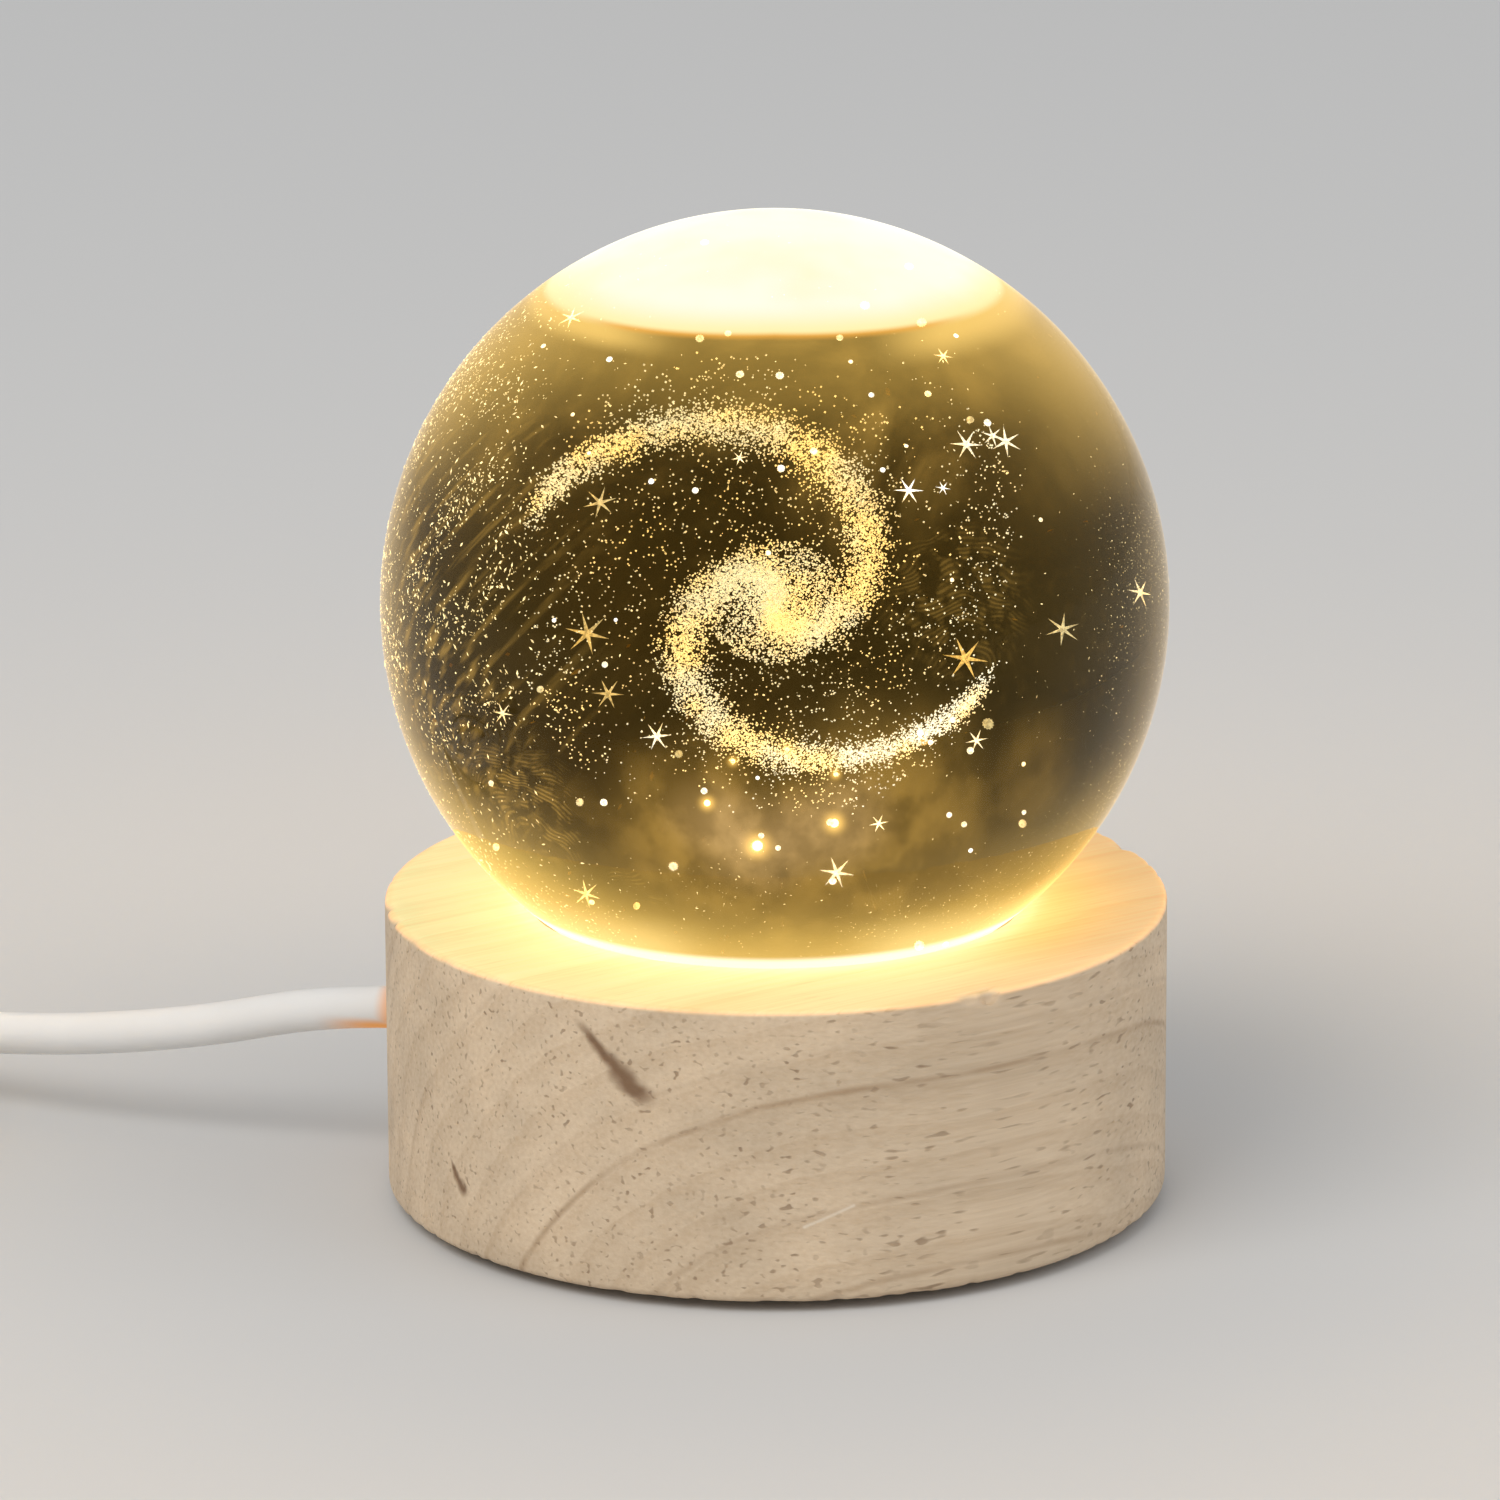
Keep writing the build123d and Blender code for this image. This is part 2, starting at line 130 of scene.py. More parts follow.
def times(*values):
    return in_turn("MULTIPLY", values)


def most(*values):
    return in_turn("MAXIMUM", values)


def less(first, second):
    return sum_in("SUBTRACT", first, second)


def times_plus(value, factor, added):
    return sum_in("MULTIPLY_ADD", value, factor, added)


def vector_in(operation, *values):
    """The vector that a Vector Math node gives."""
    return worked("ShaderNodeVectorMath", operation, values).outputs[0]


def length_in(operation, *values):
    """The number that a Vector Math node gives: a length or a dot product."""
    return worked("ShaderNodeVectorMath", operation, values).outputs["Value"]


def resized(vector, share):
    """A vector or a colour times a value."""
    scaled = {0: vector, "Scale": share}
    return first_of(share.id_data, "ShaderNodeVectorMath", scaled, operation="SCALE")


def axis_of(vector, axis):
    """One coordinate of a vector: 0 is to the right, 1 backwards, 2 up."""
    return node_in(vector.id_data, "ShaderNodeSeparateXYZ", {0: vector}).outputs[axis]


def place_in(made):
    """A piece's own coordinates, for a tree or a shader in it."""
    return node_in(made.id_data, "ShaderNodeTexCoord").outputs["Object"]


def between(value, start, end, low=0.0, high=1.0, soft=True):
    """A value's way from start to end, as a share from low to high."""
    span = {"Value": value, "From Min": start, "From Max": end, "To Min": low, "To Max": high}
    kind = "SMOOTHSTEP" if soft else "LINEAR"
    return first_of(value.id_data, "ShaderNodeMapRange", span, interpolation_type=kind)


def tint(colour):
    """A node's output as it is, a plain colour with its alpha."""
    return colour if isinstance(colour, bpy.types.NodeSocket) else (*colour, 1)


def blended(share, first, second):
    """A colour between two colours."""
    mixed = {0: share, 6: tint(first), 7: tint(second)}
    return node_in(share.id_data, "ShaderNodeMix", mixed, data_type="RGBA").outputs[2]


def cloudy(at, stretch, detail):
    """Noise on coordinates that are stretched first."""
    stretched = vector_in("MULTIPLY", at, stretch)
    noisy = {"Vector": stretched, "Scale": 1.0, "Detail": detail}
    return first_of(at.id_data, "ShaderNodeTexNoise", noisy)


def finish_of(name, colour, roughness):
    """A new material with one Principled shader in a plain colour: the material and the shader."""
    made = bpy.data.materials.new(name)
    made.use_nodes = True
    shader = made.node_tree.nodes["Principled BSDF"]
    fed(shader, {"Base Color": (*colour, 1.0), "Roughness": roughness})
    return made, shader


def glows(shader, colour, strength):
    """A shader gives off light of a colour."""
    fed(shader, {"Emission Color": tint(colour), "Emission Strength": strength})


def piece_from(name, shape, material):
    """A bmesh becomes a shown piece."""
    mesh = bpy.data.meshes.new(name)
    shape.to_mesh(mesh)
    shape.free()
    mesh.materials.append(material)
    mesh.shade_smooth()
    made = bpy.data.objects.new(name, mesh)
    scene.collection.objects.link(made)
    return made


def quarter_round(centre_r, centre_z, radius, start, steps):
    """Profile points of a rounded edge, a quarter turn from the start angle."""
    angles = [math.radians(start + 90 * step / steps) for step in range(steps + 1)]
    return [(centre_r + radius * math.cos(a), centre_z + radius * math.sin(a)) for a in angles]


def spaced(start, end, count):
    """Profile points between two ends, without the ends."""
    shares = [step / (count + 1) for step in range(1, count + 1)]
    return [(start[0] + (end[0] - start[0]) * s, start[1] + (end[1] - start[1]) * s) for s in shares]


def torn_edge(bearing, radius, height):
    """A point of the base after the top edge's chips and torn fibres."""
    reach = math.hypot(radius - BASE_R, height - BASE_TOP)
    near = math.exp(-((reach / CHIP_REACH) ** 2))
    degrees = math.degrees(bearing) % 360
    depth = sum(d * math.exp(-(((degrees - b) / w) ** 2)) for b, w, d in CHIPS)
    at = (math.cos(bearing) * TEARS_ROUND, math.sin(bearing) * TEARS_ROUND, height * TEARS_UP)
    tear = max(noise.noise(Vector(at)), 0.0)
    depth += EDGE_TEAR * tear
    foot_reach = math.hypot(radius - BASE_R, height - BASE_BOTTOM)
    worn = FOOT_TEAR * tear * math.exp(-((foot_reach / CHIP_REACH) ** 2))
    return radius - CHIP_IN * depth * near - worn, height - CHIP_DOWN * depth * near + worn


def turned_base():
    """The base's skin, spun from its profile."""
    foot = quarter_round(BASE_R - FOOT_EDGE_R, BASE_BOTTOM + FOOT_EDGE_R, FOOT_EDGE_R, -90, 4)
    rim = quarter_round(BASE_R - TOP_EDGE_R, BASE_TOP - TOP_EDGE_R, TOP_EDGE_R, 0, 5)
    crisp = [(BASE_R, BASE_TOP - drop) for drop in EDGE_STEPS]
    flat = [(BASE_R - inset, BASE_TOP) for inset in reversed(EDGE_STEPS)]
    seat = [(SEAT_R, BASE_TOP), (RECESS_R, SEAT_BOTTOM)]
    corner = (RECESS_R, RECESS_FLOOR)
    profile = [(10.0, BASE_BOTTOM), (20.0, BASE_BOTTOM)] + foot
    profile += spaced(foot[-1], crisp[0], 12) + crisp + rim + flat
    profile += spaced(flat[-1], seat[0], 5) + seat + spaced(seat[1], corner, 9) + [corner]
    profile += [(12.0, RECESS_FLOOR), (6.0, RECESS_FLOOR)]
    shape = bmesh.new()
    rings = []
    for radius, height in profile:
        ring = []
        for step in range(TURN_STEPS):
            bearing = 2 * math.pi * step / TURN_STEPS
            r, z = torn_edge(bearing, radius, height)
            ring.append(shape.verts.new(Vector((r * math.cos(bearing), r * math.sin(bearing), z)) * MM))
        rings.append(ring)
    for lower, upper in zip(rings, rings[1:]):
        for step in range(TURN_STEPS):
            after = (step + 1) % TURN_STEPS
            shape.faces.new((lower[step], lower[after], upper[after], upper[step]))
    for ring, height in ((rings[0], BASE_BOTTOM), (rings[-1], RECESS_FLOOR)):
        pole = shape.verts.new((0, 0, height * MM))
        for step in range(TURN_STEPS):
            shape.faces.new((ring[step], pole, ring[(step + 1) % TURN_STEPS]))
    bmesh.ops.recalc_face_normals(shape, faces=shape.faces)
    return shape


def settled(made, modifier):
    """What a modifier makes becomes the piece's own mesh."""
    mesh = bpy.data.meshes.new_from_object(made.evaluated_get(bpy.context.evaluated_depsgraph_get()))
    made.modifiers.remove(modifier)
    made.data = mesh
    return mesh


# The grain runs level, along one bearing, so the left front shows end grain with pits, the right
# front long grain with dashes, and the top lines along the grain. The rings bend round a heart
# outside the puck, low on its right front, and two short dark checks run towards that heart.
GRAIN_BEARING = math.radians(35)
HEART = (0.0, -36.0, -13.2)
RING_SPACING = 3.1
# Rings that stand out as dark lines: distance from the heart, strength
RING_LINES = ((31.6, 0.62), (34.8, 0.2), (22.9, 0.3), (17.2, 0.42), (47.0, 0.22), (58.5, 0.35))
RING_LINE_W = 0.42
RING_WANDER = 5.0
LINE_WANDER = 1.6
# Checks: start in the grain's own coordinates, length, half width
CHECKS = (((0.0, -12.5, 22.4), 8.5, 1.25), ((0.0, 0.35, 8.1), 3.4, 0.75))
CHECK_WAY = (0.0, -0.63, -0.777)
CHECK_ACROSS = (0.0, 0.777, -0.63)
WOOD_PALE = (0.72, 0.56, 0.385)
WOOD_LATE = (0.57, 0.41, 0.255)
WOOD_RING = (0.36, 0.225, 0.12)
WOOD_PORE = (0.27, 0.17, 0.095)
WOOD_CHECK = (0.2, 0.108, 0.052)
END_GRAIN_SIDE = -12.0
CHECK_WAVER = 1.5
# A pale scratch across the front: start, way, length, half width
SCRATCH_START = (1.94, -29.94, 6.8)
SCRATCH_WAY = (0.917, 0.116, 0.379)
SCRATCH_LENGTH = 4.0
SCRATCH_W = 0.2
WOOD_SCRATCH = (0.86, 0.76, 0.62)
# Painted light: colours of the glow that the top gives off at the seat, at the rim and at the outer
# edge, in place of light leaking out under the ball
SEAT_GLOW = (0.8, 0.6, 0.25)
SEAT_GLOW_RIGHT = (0.78, 0.42, 0.04)
RIM_GLOW_LEFT = (0.42, 0.41, 0.13)
RIM_GLOW_RIGHT = (0.46, 0.26, 0.07)
EDGE_GLOW_AMBER = (0.62, 0.29, 0.05)
EDGE_GLOW_W = 0.75
LEAK_FALL = 1.6
IN_MM = (1000, 1000, 1000)
LEVEL_MM = (1000, 1000, 0)

pale_wood, wood_shader = finish_of("pale_wood", WOOD_PALE, 0.55)
tree = wood_shader.id_data
place = place_in(tree)
turned_mm = {"Vector": place, "Rotation": (0, 0, -GRAIN_BEARING), "Scale": IN_MM}
grain = first_of(tree, "ShaderNodeMapping", turned_mm)
from_heart = vector_in("MULTIPLY", vector_in("SUBTRACT", grain, HEART), (0, 1, 1))
wander = cloudy(grain, (0.025, 0.07, 0.07), 3.0)
heart_reach = length_in("LENGTH", from_heart)
ring_radius = times_plus(wander, RING_WANDER, heart_reach)
ring_share = sum_in("FRACT", sum_in("DIVIDE", ring_radius, RING_SPACING))
late_wood = times(between(ring_share, 0.35, 0.93, 0.08, 0.36), between(ring_share, 0.94, 1.0, 1.0, 0.15))
fibres = cloudy(grain, (0.06, 2.6, 2.6), 2.0)
fibre_tone = between(fibres, 0.3, 0.75, -0.12, 0.34, soft=False)
tone = {0: late_wood, 1: fibre_tone}
tone = first_of(tree, "ShaderNodeMath", tone, operation="ADD", use_clamp=True)
pores = between(cloudy(grain, (0.38, 2.7, 2.7), 0.0), 0.665, 0.78, soft=False)
pore_depth = between(cloudy(grain, (0.2, 0.5, 0.5), 1.0), 0.35, 0.7, 0.2, 0.75, soft=False)
upright = axis_of(place, 2)
on_top = between(upright, 0.0231, 0.02355)
pores = times(pores, pore_depth, times_plus(on_top, -0.7, 1.0))
blotches = between(cloudy(grain, (0.05, 0.16, 0.16), 2.0), 0.3, 0.7, 0.86, 1.06, soft=False)
wood_colour = resized(blended(tone, WOOD_PALE, WOOD_LATE), blotches)
line_reach = times_plus(less(wander, 0.5), LINE_WANDER, heart_reach)
faded = between(cloudy(grain, (0.12, 0.3, 0.3), 2.0), 0.3, 0.6, 0.35, 1.0)
for reach, strength in RING_LINES:
    off_line = sum_in("ABSOLUTE", less(line_reach, reach))
    line = times(between(off_line, RING_LINE_W, 0.0, 0.0, strength), faded)
    wood_colour = blended(line, wood_colour, WOOD_RING)
wood_colour = blended(pores, wood_colour, WOOD_PORE)
end_side = sum_in("LESS_THAN", axis_of(grain, 0), END_GRAIN_SIDE)
waver = less(cloudy(grain, (0.1, 0.5, 0.5), 2.0), 0.5)
checks = []
for start, length, width in CHECKS:
    from_start = vector_in("SUBTRACT", grain, start)
    run = length_in("DOT_PRODUCT", from_start, CHECK_WAY)
    aside = length_in("DOT_PRODUCT", from_start, CHECK_ACROSS)
    aside = sum_in("ABSOLUTE", times_plus(waver, CHECK_WAVER, aside))
    swell = between(run, 0.0, length * 0.8, width * 0.4, width)
    core = between(less(1.0, sum_in("DIVIDE", aside, swell)), 0.0, 0.9, 0.0, 0.95)
    begun = between(run, 0.0, length * 0.3)
    ended = between(run, length * 0.85, length * 1.05, 1.0, 0.0)
    checks.append(times(core, begun, ended, end_side))
checks = most(*checks)
wood_colour = blended(checks, wood_colour, WOOD_CHECK)
in_mm = vector_in("MULTIPLY", place, IN_MM)
along_scratch = vector_in("SUBTRACT", in_mm, SCRATCH_START)
run = length_in("DOT_PRODUCT", along_scratch, SCRATCH_WAY)
clamped_run = sum_in("MINIMUM", most(run, 0.0), SCRATCH_LENGTH)
nearest = resized(SCRATCH_WAY, clamped_run)
scratch = between(length_in("DISTANCE", along_scratch, nearest), SCRATCH_W, 0.0, 0.0, 0.6)
wood_colour = blended(scratch, wood_colour, WOOD_SCRATCH)
wood_rough = between(fibres, 0.3, 0.7, 0.46, 0.66, soft=False)
relief = times_plus(pores, -0.9, fibres)
relief = times_plus(checks, -1.2, relief)
relief = first_of(tree, "ShaderNodeBump", {"Height": relief, "Strength": 0.5, "Distance": 0.00012})
fed(wood_shader, {"Base Color": wood_colour, "Roughness": wood_rough, "Normal": relief})
# Painted light: the top and the seat give off a warm glow, strongest at the seat, fading outwards and
# amber at the outer edge
seat_radius = length_in("LENGTH", vector_in("MULTIPLY", place, LEVEL_MM))
leak = sum_in("POWER", between(seat_radius, BASE_R, SEAT_R, soft=False), LEAK_FALL)
rightwards = axis_of(place, 0)
rim_glow = blended(between(rightwards, -0.02, 0.026), RIM_GLOW_LEFT, RIM_GLOW_RIGHT)
seat_glow = blended(between(rightwards, 0.012, 0.023), SEAT_GLOW, SEAT_GLOW_RIGHT)
leak_glow_colour = blended(leak, rim_glow, seat_glow)
edge_glow_share = between(seat_radius, BASE_R - EDGE_GLOW_W, BASE_R - 0.1, 0.0, 0.85)
leak_glow_colour = blended(edge_glow_share, leak_glow_colour, EDGE_GLOW_AMBER)
on_seat = sum_in("LESS_THAN", seat_radius, SEAT_R + 0.25)
on_seat = times(on_seat, between(upright, 0.0226, 0.023))
leak_glow_colour = blended(most(on_top, on_seat), (0, 0, 0), leak_glow_colour)
glows(wood_shader, leak_glow_colour, 1.0)

base = piece_from("turned_base", turned_base(), pale_wood)
drill = bmesh.new()
hole = {"segments": 64, "radius1": HOLE_D / 2 * MM, "radius2": HOLE_D / 2 * MM, "depth": DRILL_L * MM}
bmesh.ops.create_cone(drill, cap_ends=True, **hole)
cable_way = Vector((math.cos(CABLE_BEARING), math.sin(CABLE_BEARING), 0))
drill.transform(Matrix.Rotation(math.pi / 2, 4, "Y"))
drill.transform(Matrix.Rotation(CABLE_BEARING, 4, "Z"))
drill.transform(Matrix.Translation((cable_way * DRILL_MIDDLE + Vector((0, 0, CABLE_AXIS_Z))) * MM))
drill = piece_from("drill", drill, pale_wood)
bore = base.modifiers.new("bore", "BOOLEAN")
bore.operation = "DIFFERENCE"
bore.object = drill
bore.solver = "EXACT"
bored = settled(base, bore)
bpy.data.objects.remove(drill)
bored.shade_smooth()
bored.set_sharp_from_angle(angle=math.radians(35))
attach(base, "base")
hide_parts("wood_base")

# Foot pad
# A disc of black closed-cell foam stuck under the base, which keeps it from sliding.
FOAM_BLACK = (0.022, 0.022, 0.023)
FOAM_WORN = (0.05, 0.05, 0.052)

# Moulded, foamed and printed skins are never quite even: this gives them a faint cloudiness, a
# rougher and a smoother patch, and a fine relief.
mottle = bpy.data.node_groups.new("mottle", "ShaderNodeTree")
for name in ("Colour", "Second Colour"):
    mottle.interface.new_socket(name, in_out="INPUT", socket_type="NodeSocketColor")
for name in ("Cloud Scale", "Grain Scale", "Smoothest", "Roughest", "Relief", "Relief Depth"):
    mottle.interface.new_socket(name, in_out="INPUT", socket_type="NodeSocketFloat")
for name, kind in (("Colour", "Color"), ("Roughness", "Float"), ("Normal", "Vector")):
    mottle.interface.new_socket(name, in_out="OUTPUT", socket_type="NodeSocket" + kind)
given = mottle.nodes.new("NodeGroupInput").outputs
place = place_in(mottle)
cloud, fine = [
    first_of(mottle, "ShaderNodeTexNoise", {"Vector": place, "Scale": given[size], "Detail": detail})
    for size, detail in (("Cloud Scale", 4.0), ("Grain Scale", 2.0))
]
skin = blended(between(cloud, 0.35, 0.7), given["Colour"], given["Second Colour"])
skin_rough = between(fine, 0.3, 0.7, given["Smoothest"], given["Roughest"], soft=False)
skin_relief = {"Height": fine, "Strength": given["Relief"], "Distance": given["Relief Depth"]}
skin_relief = first_of(mottle, "ShaderNodeBump", skin_relief)
node_in(mottle, "NodeGroupOutput", {0: skin, 1: skin_rough, 2: skin_relief})


def mottled(
    wearers,
    name,
    colour,
    second,
    smooth,
    rough,
    cloud=120.0,
    grain=2500.0,
    relief=0.2,
    depth=0.00004,
    metal=0.0,
):
    """A material with the mottle's skin, worn by CAD nodes: the material, its shader, the skin."""
    made, shader = finish_of(name, colour, rough)
    values = ((*colour, 1), (*second, 1), cloud, grain, smooth, rough, relief, depth)
    skin = node_in(shader.id_data, "ShaderNodeGroup", enumerate(values), node_tree=mottle).outputs
    fed(shader, {"Base Color": skin[0], "Roughness": skin[1], "Normal": skin[2], "Metallic": metal})
    for wearer in wearers:
        slots = nodes[wearer].data.materials
        slots.clear()
        slots.append(made)
    return made, shader, skin


foam = {"cloud": 300.0, "grain": 1800.0, "relief": 0.6, "depth": 0.00015}
mottled(["foot_pad"], "foam", FOAM_BLACK, FOAM_WORN, 0.8, 0.97, **foam)

# Board tape
# A disc of pale double-sided foam tape between the board and the recess's floor.
mottled(["board_tape"], "tape", (0.62, 0.6, 0.52), (0.5, 0.48, 0.41), 0.6, 0.85, grain=3000.0)

# LED board
# A round board in white solder mask. A ring of copper under the mask joins the lights on each side,
# and shows as slightly raised bands.
BOARD_WHITE = (0.8, 0.8, 0.77)
BOARD_DULL = (0.76, 0.755, 0.72)
BOARD_TRACE = (0.66, 0.67, 0.63)
# Copper bands: middle radius, half width
BANDS = ((16.3, 0.55), (7.4, 0.6))
BAND_EDGE = 0.15
board = {"cloud": 200.0, "grain": 4000.0, "relief": 0.08}
shader, skin = mottled(["led_board"], "board", BOARD_WHITE, BOARD_DULL, 0.22, 0.34, **board)[1:]
board_radius = length_in("LENGTH", vector_in("MULTIPLY", place_in(shader), LEVEL_MM))
copper = []
for radius, half_width in BANDS:
    off = sum_in("ABSOLUTE", less(board_radius, radius))
    copper.append(between(off, half_width, half_width + BAND_EDGE, 1.0, 0.0))
copper = most(*copper)
board_colour = blended(copper, skin["Colour"], BOARD_TRACE)
board_relief = {"Height": copper, "Strength": 0.6, "Distance": 0.00006, "Normal": skin["Normal"]}
board_relief = first_of(shader.id_data, "ShaderNodeBump", board_relief)
fed(shader, {"Base Color": board_colour, "Normal": board_relief})

# LEDs
# Six packages on the board, each a white moulded housing whose shallow well is filled with yellow
# phosphor in clear resin. Lit, the phosphor is a strong warm white.
PHOSPHOR = (0.86, 0.62, 0.12)
LED_GLOW = (1.0, 0.76, 0.40)
LED_STRENGTH = 2.6
resin = {"cloud": 900.0, "grain": 6000.0, "relief": 0.05}


def six(kind):
    """The names of six like nodes."""
    return [f"{kind}_{number}" for number in range(1, 7)]


mottled(six("led_housing"), "led_housing", (0.84, 0.83, 0.79), (0.8, 0.78, 0.72), 0.3, 0.45)
shader = mottled(six("led_phosphor"), "led_phosphor", PHOSPHOR, (0.9, 0.7, 0.2), 0.12, 0.2, **resin)[1]
fed(shader, {"Coat Weight": 0.5})
glows(shader, LED_GLOW, LED_STRENGTH)

# Resistors
# One black chip resistor for each LED, between the LEDs.
mottled(six("resistor"), "resistor", (0.03, 0.03, 0.032), (0.05, 0.05, 0.05), 0.25, 0.45)

# Solder fillets
# Both ends of each LED and each resistor are soldered to the board: small bright fillets of tin, half
# sunk in the board's top. The joints of the lead's two cores are of the same tin.
BOARD_TOP = 6.5
LED_RING_R = 14.25
LED_BEARING = 17.5
RESISTOR_RING_R = 9.75
RESISTOR_TURN = 30
TIN = (0.72, 0.72, 0.7)
TIN_DULL = (0.6, 0.6, 0.58)
joints = ["solder_positive", "solder_negative"]
tinned = {"cloud": 700.0, "grain": 5000.0, "metal": 1.0}
solder = mottled(joints, "solder", TIN, TIN_DULL, 0.16, 0.34, **tinned)[0]


def vector_of(tree, *parts):
    """A vector from its coordinates."""
    return first_of(tree, "ShaderNodeCombineXYZ", enumerate(parts))


def grown(name, tree, values, material, place):
    """The plain mesh that a Geometry Nodes tree makes, put in its place, as a shown piece."""
    made = bpy.data.objects.new(name, bpy.data.meshes.new(name))
    scene.collection.objects.link(made)
    modifier = made.modifiers.new("grow", "NODES")
    modifier.node_group = tree
    values = {**values, "Material": material}
    for item in tree.interface.items_tree:
        if item.in_out == "INPUT" and item.name in values:
            modifier[item.identifier] = values[item.name]
    settled(made, modifier).transform(place)
    return made


def growth_tree(name, sizes, **others):
    """A Geometry Nodes tree with named inputs, sizes and others by their kind: the tree, its inputs."""
    tree = bpy.data.node_groups.new(name, "GeometryNodeTree")
    kinds = {"Geometry": "Geometry", **dict.fromkeys(sizes, "Float"), **others, "Material": "Material"}
    for label, kind in kinds.items():
        tree.interface.new_socket(label, in_out="INPUT", socket_type="NodeSocket" + kind)
    tree.interface.new_socket("Geometry", in_out="OUTPUT", socket_type="NodeSocketGeometry")
    return tree, tree.nodes.new("NodeGroupInput").outputs


def ends_real(given, instances):
    """The tree's end: instances become a mesh of the given material."""
    tree = instances.id_data
    real = first_of(tree, "GeometryNodeRealizeInstances", {0: instances})
    painted = {"Geometry": real, "Material": given["Material"]}
    painted = first_of(tree, "GeometryNodeSetMaterial", painted)
    node_in(tree, "NodeGroupOutput", {0: painted})


def set_out(tree, count, at):
    """Points of a tree, put in their places."""
    points = first_of(tree, "GeometryNodePoints", {"Count": count})
    return first_of(tree, "GeometryNodeSetPosition", {"Geometry": points, "Position": at})


def planted(given, points, shape, size, turn=(0, 0, 0)):
    """The tree's end, with a shape on each of its points."""
    shapes = {"Points": points, "Instance": shape, "Rotation": turn, "Scale": size}
    ends_real(given, first_of(points.id_data, "GeometryNodeInstanceOnPoints", shapes))


tree, given = growth_tree("fillets_on_ring", ("Ring", "Bearing", "Spread"), Parts="Int", Size="Vector")
number = first_of(tree, "GeometryNodeInputIndex")
turn = sum_in("DIVIDE", sum_in("FLOOR", sum_in("DIVIDE", number, 2.0)), given["Parts"])
turn = times_plus(turn, 2 * math.pi, given["Bearing"])
aside = times_plus(sum_in("MODULO", number, 2.0), 2.0, -1.0)
aside = times(aside, given["Spread"])
at = {"Vector": vector_of(tree, given["Ring"], aside), "Angle": turn}
at = first_of(tree, "ShaderNodeVectorRotate", at, rotation_type="Z_AXIS")
points = set_out(tree, times(given["Parts"], 2.0), at)
bead = first_of(tree, "GeometryNodeMeshUVSphere", {"Segments": 16, "Rings": 8, "Radius": 1.0})
bead = first_of(tree, "GeometryNodeSetShadeSmooth", {"Geometry": bead})
planted(given, points, bead, given["Size"], vector_of(tree, 0.0, 0.0, turn))
on_board = Matrix.Translation((0, 0, BOARD_TOP * MM))
for name, ring, bearing, spread, size in (
    ("led_solder", LED_RING_R, LED_BEARING, 1.9, (1.05, 0.4, 0.34)),
    ("resistor_solder", RESISTOR_RING_R, LED_BEARING + RESISTOR_TURN, 1.08, (0.58, 0.32, 0.36)),
):
    values = {"Parts": 6, "Ring": ring * MM, "Bearing": math.radians(bearing), "Spread": spread * MM}
    values["Size"] = [length * MM for length in size]
    part = grown(name, tree, values, solder, on_board)
    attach(part, "base")

# Lead's end inside the base
# The jacket stops at the recess, where a bead of hot-melt glue holds it, and its red and black cores
# run on to two solder joints on the board.
GLUE = (0.78, 0.74, 0.62)
mottled(["wire_positive"], "red_core", (0.55, 0.03, 0.025), (0.46, 0.025, 0.02), 0.3, 0.42)
mottled(["wire_negative"], "black_core", (0.02, 0.02, 0.022), (0.03, 0.03, 0.032), 0.3, 0.42)
bead = {"cloud": 500.0, "grain": 900.0, "relief": 0.3}
shader = mottled(["glue_bead"], "hot_melt", GLUE, (0.7, 0.66, 0.54), 0.12, 0.26, **bead)[1]
fed(shader, {"Subsurface Weight": 0.4, "Subsurface Scale": 0.001})

# Lead
# A round two-core lead in soft white plastic, 3.3 mm thick. It leaves the hole straight, drops to the
# table in a long bow and goes out to the left, where the rest of it lies in a tied coil. Its end at
# the hole is painted amber and glows, in place of light from the recess shining through it.
CABLE_D = 3.3
LEAD_STUB = 6.0
LEAD_SAG = 0.25
LEAD_POINTS = ((-44.5, 12.0, 9.2), (-55.0, 15.9, 7.25), (-65.5, 22.0, 5.65), (-75.0, 27.7, 3.7))
COIL_MIDDLE = (-94.0, 4.2, 2.4)
COIL_OUTER_R = 26.006
COIL_PITCH = 3.85
LAYER_TURNS = 3.25
CLIMB_TURNS = 0.5
COIL_BEARING = math.radians(90)
POINTS_PER_TURN = 24
RUN_IN = 6.7
RUN_OUT = 6.5
TAIL_POINTS = ((-113.5, 29.5, 5.3), (-122.0, 25.9, 4.5), (-128.5, 19.6, 4.1), (-132.2, 11.6, 4.0))
PLUG_END = (-133.0, 4.4, 4.0)
JACKET = (0.82, 0.815, 0.8)
JACKET_DULL = (0.78, 0.77, 0.75)
EXIT_GLOW = (1.0, 0.4, 0.07)
EXIT_GLOW_AMBER = (0.44, 0.18, 0.05)
EXIT_STRENGTH = 0.4


def coil_point(turn):
    """A point of the coil: the lower layer winds in, half a turn climbs, the upper layer winds out."""
    climb = min(max((turn - LAYER_TURNS) / CLIMB_TURNS, 0.0), 1.0)
    inwards = min(turn, LAYER_TURNS) - max(turn - LAYER_TURNS - CLIMB_TURNS, 0.0)
    radius = COIL_OUTER_R - COIL_PITCH * (inwards + CLIMB_TURNS * climb * (1 - climb))
    bearing = COIL_BEARING + 2 * math.pi * turn
    rise = COIL_PITCH * climb**2 * (3 - 2 * climb)
    return Vector(COIL_MIDDLE) + Vector((radius * math.cos(bearing), radius * math.sin(bearing), rise))


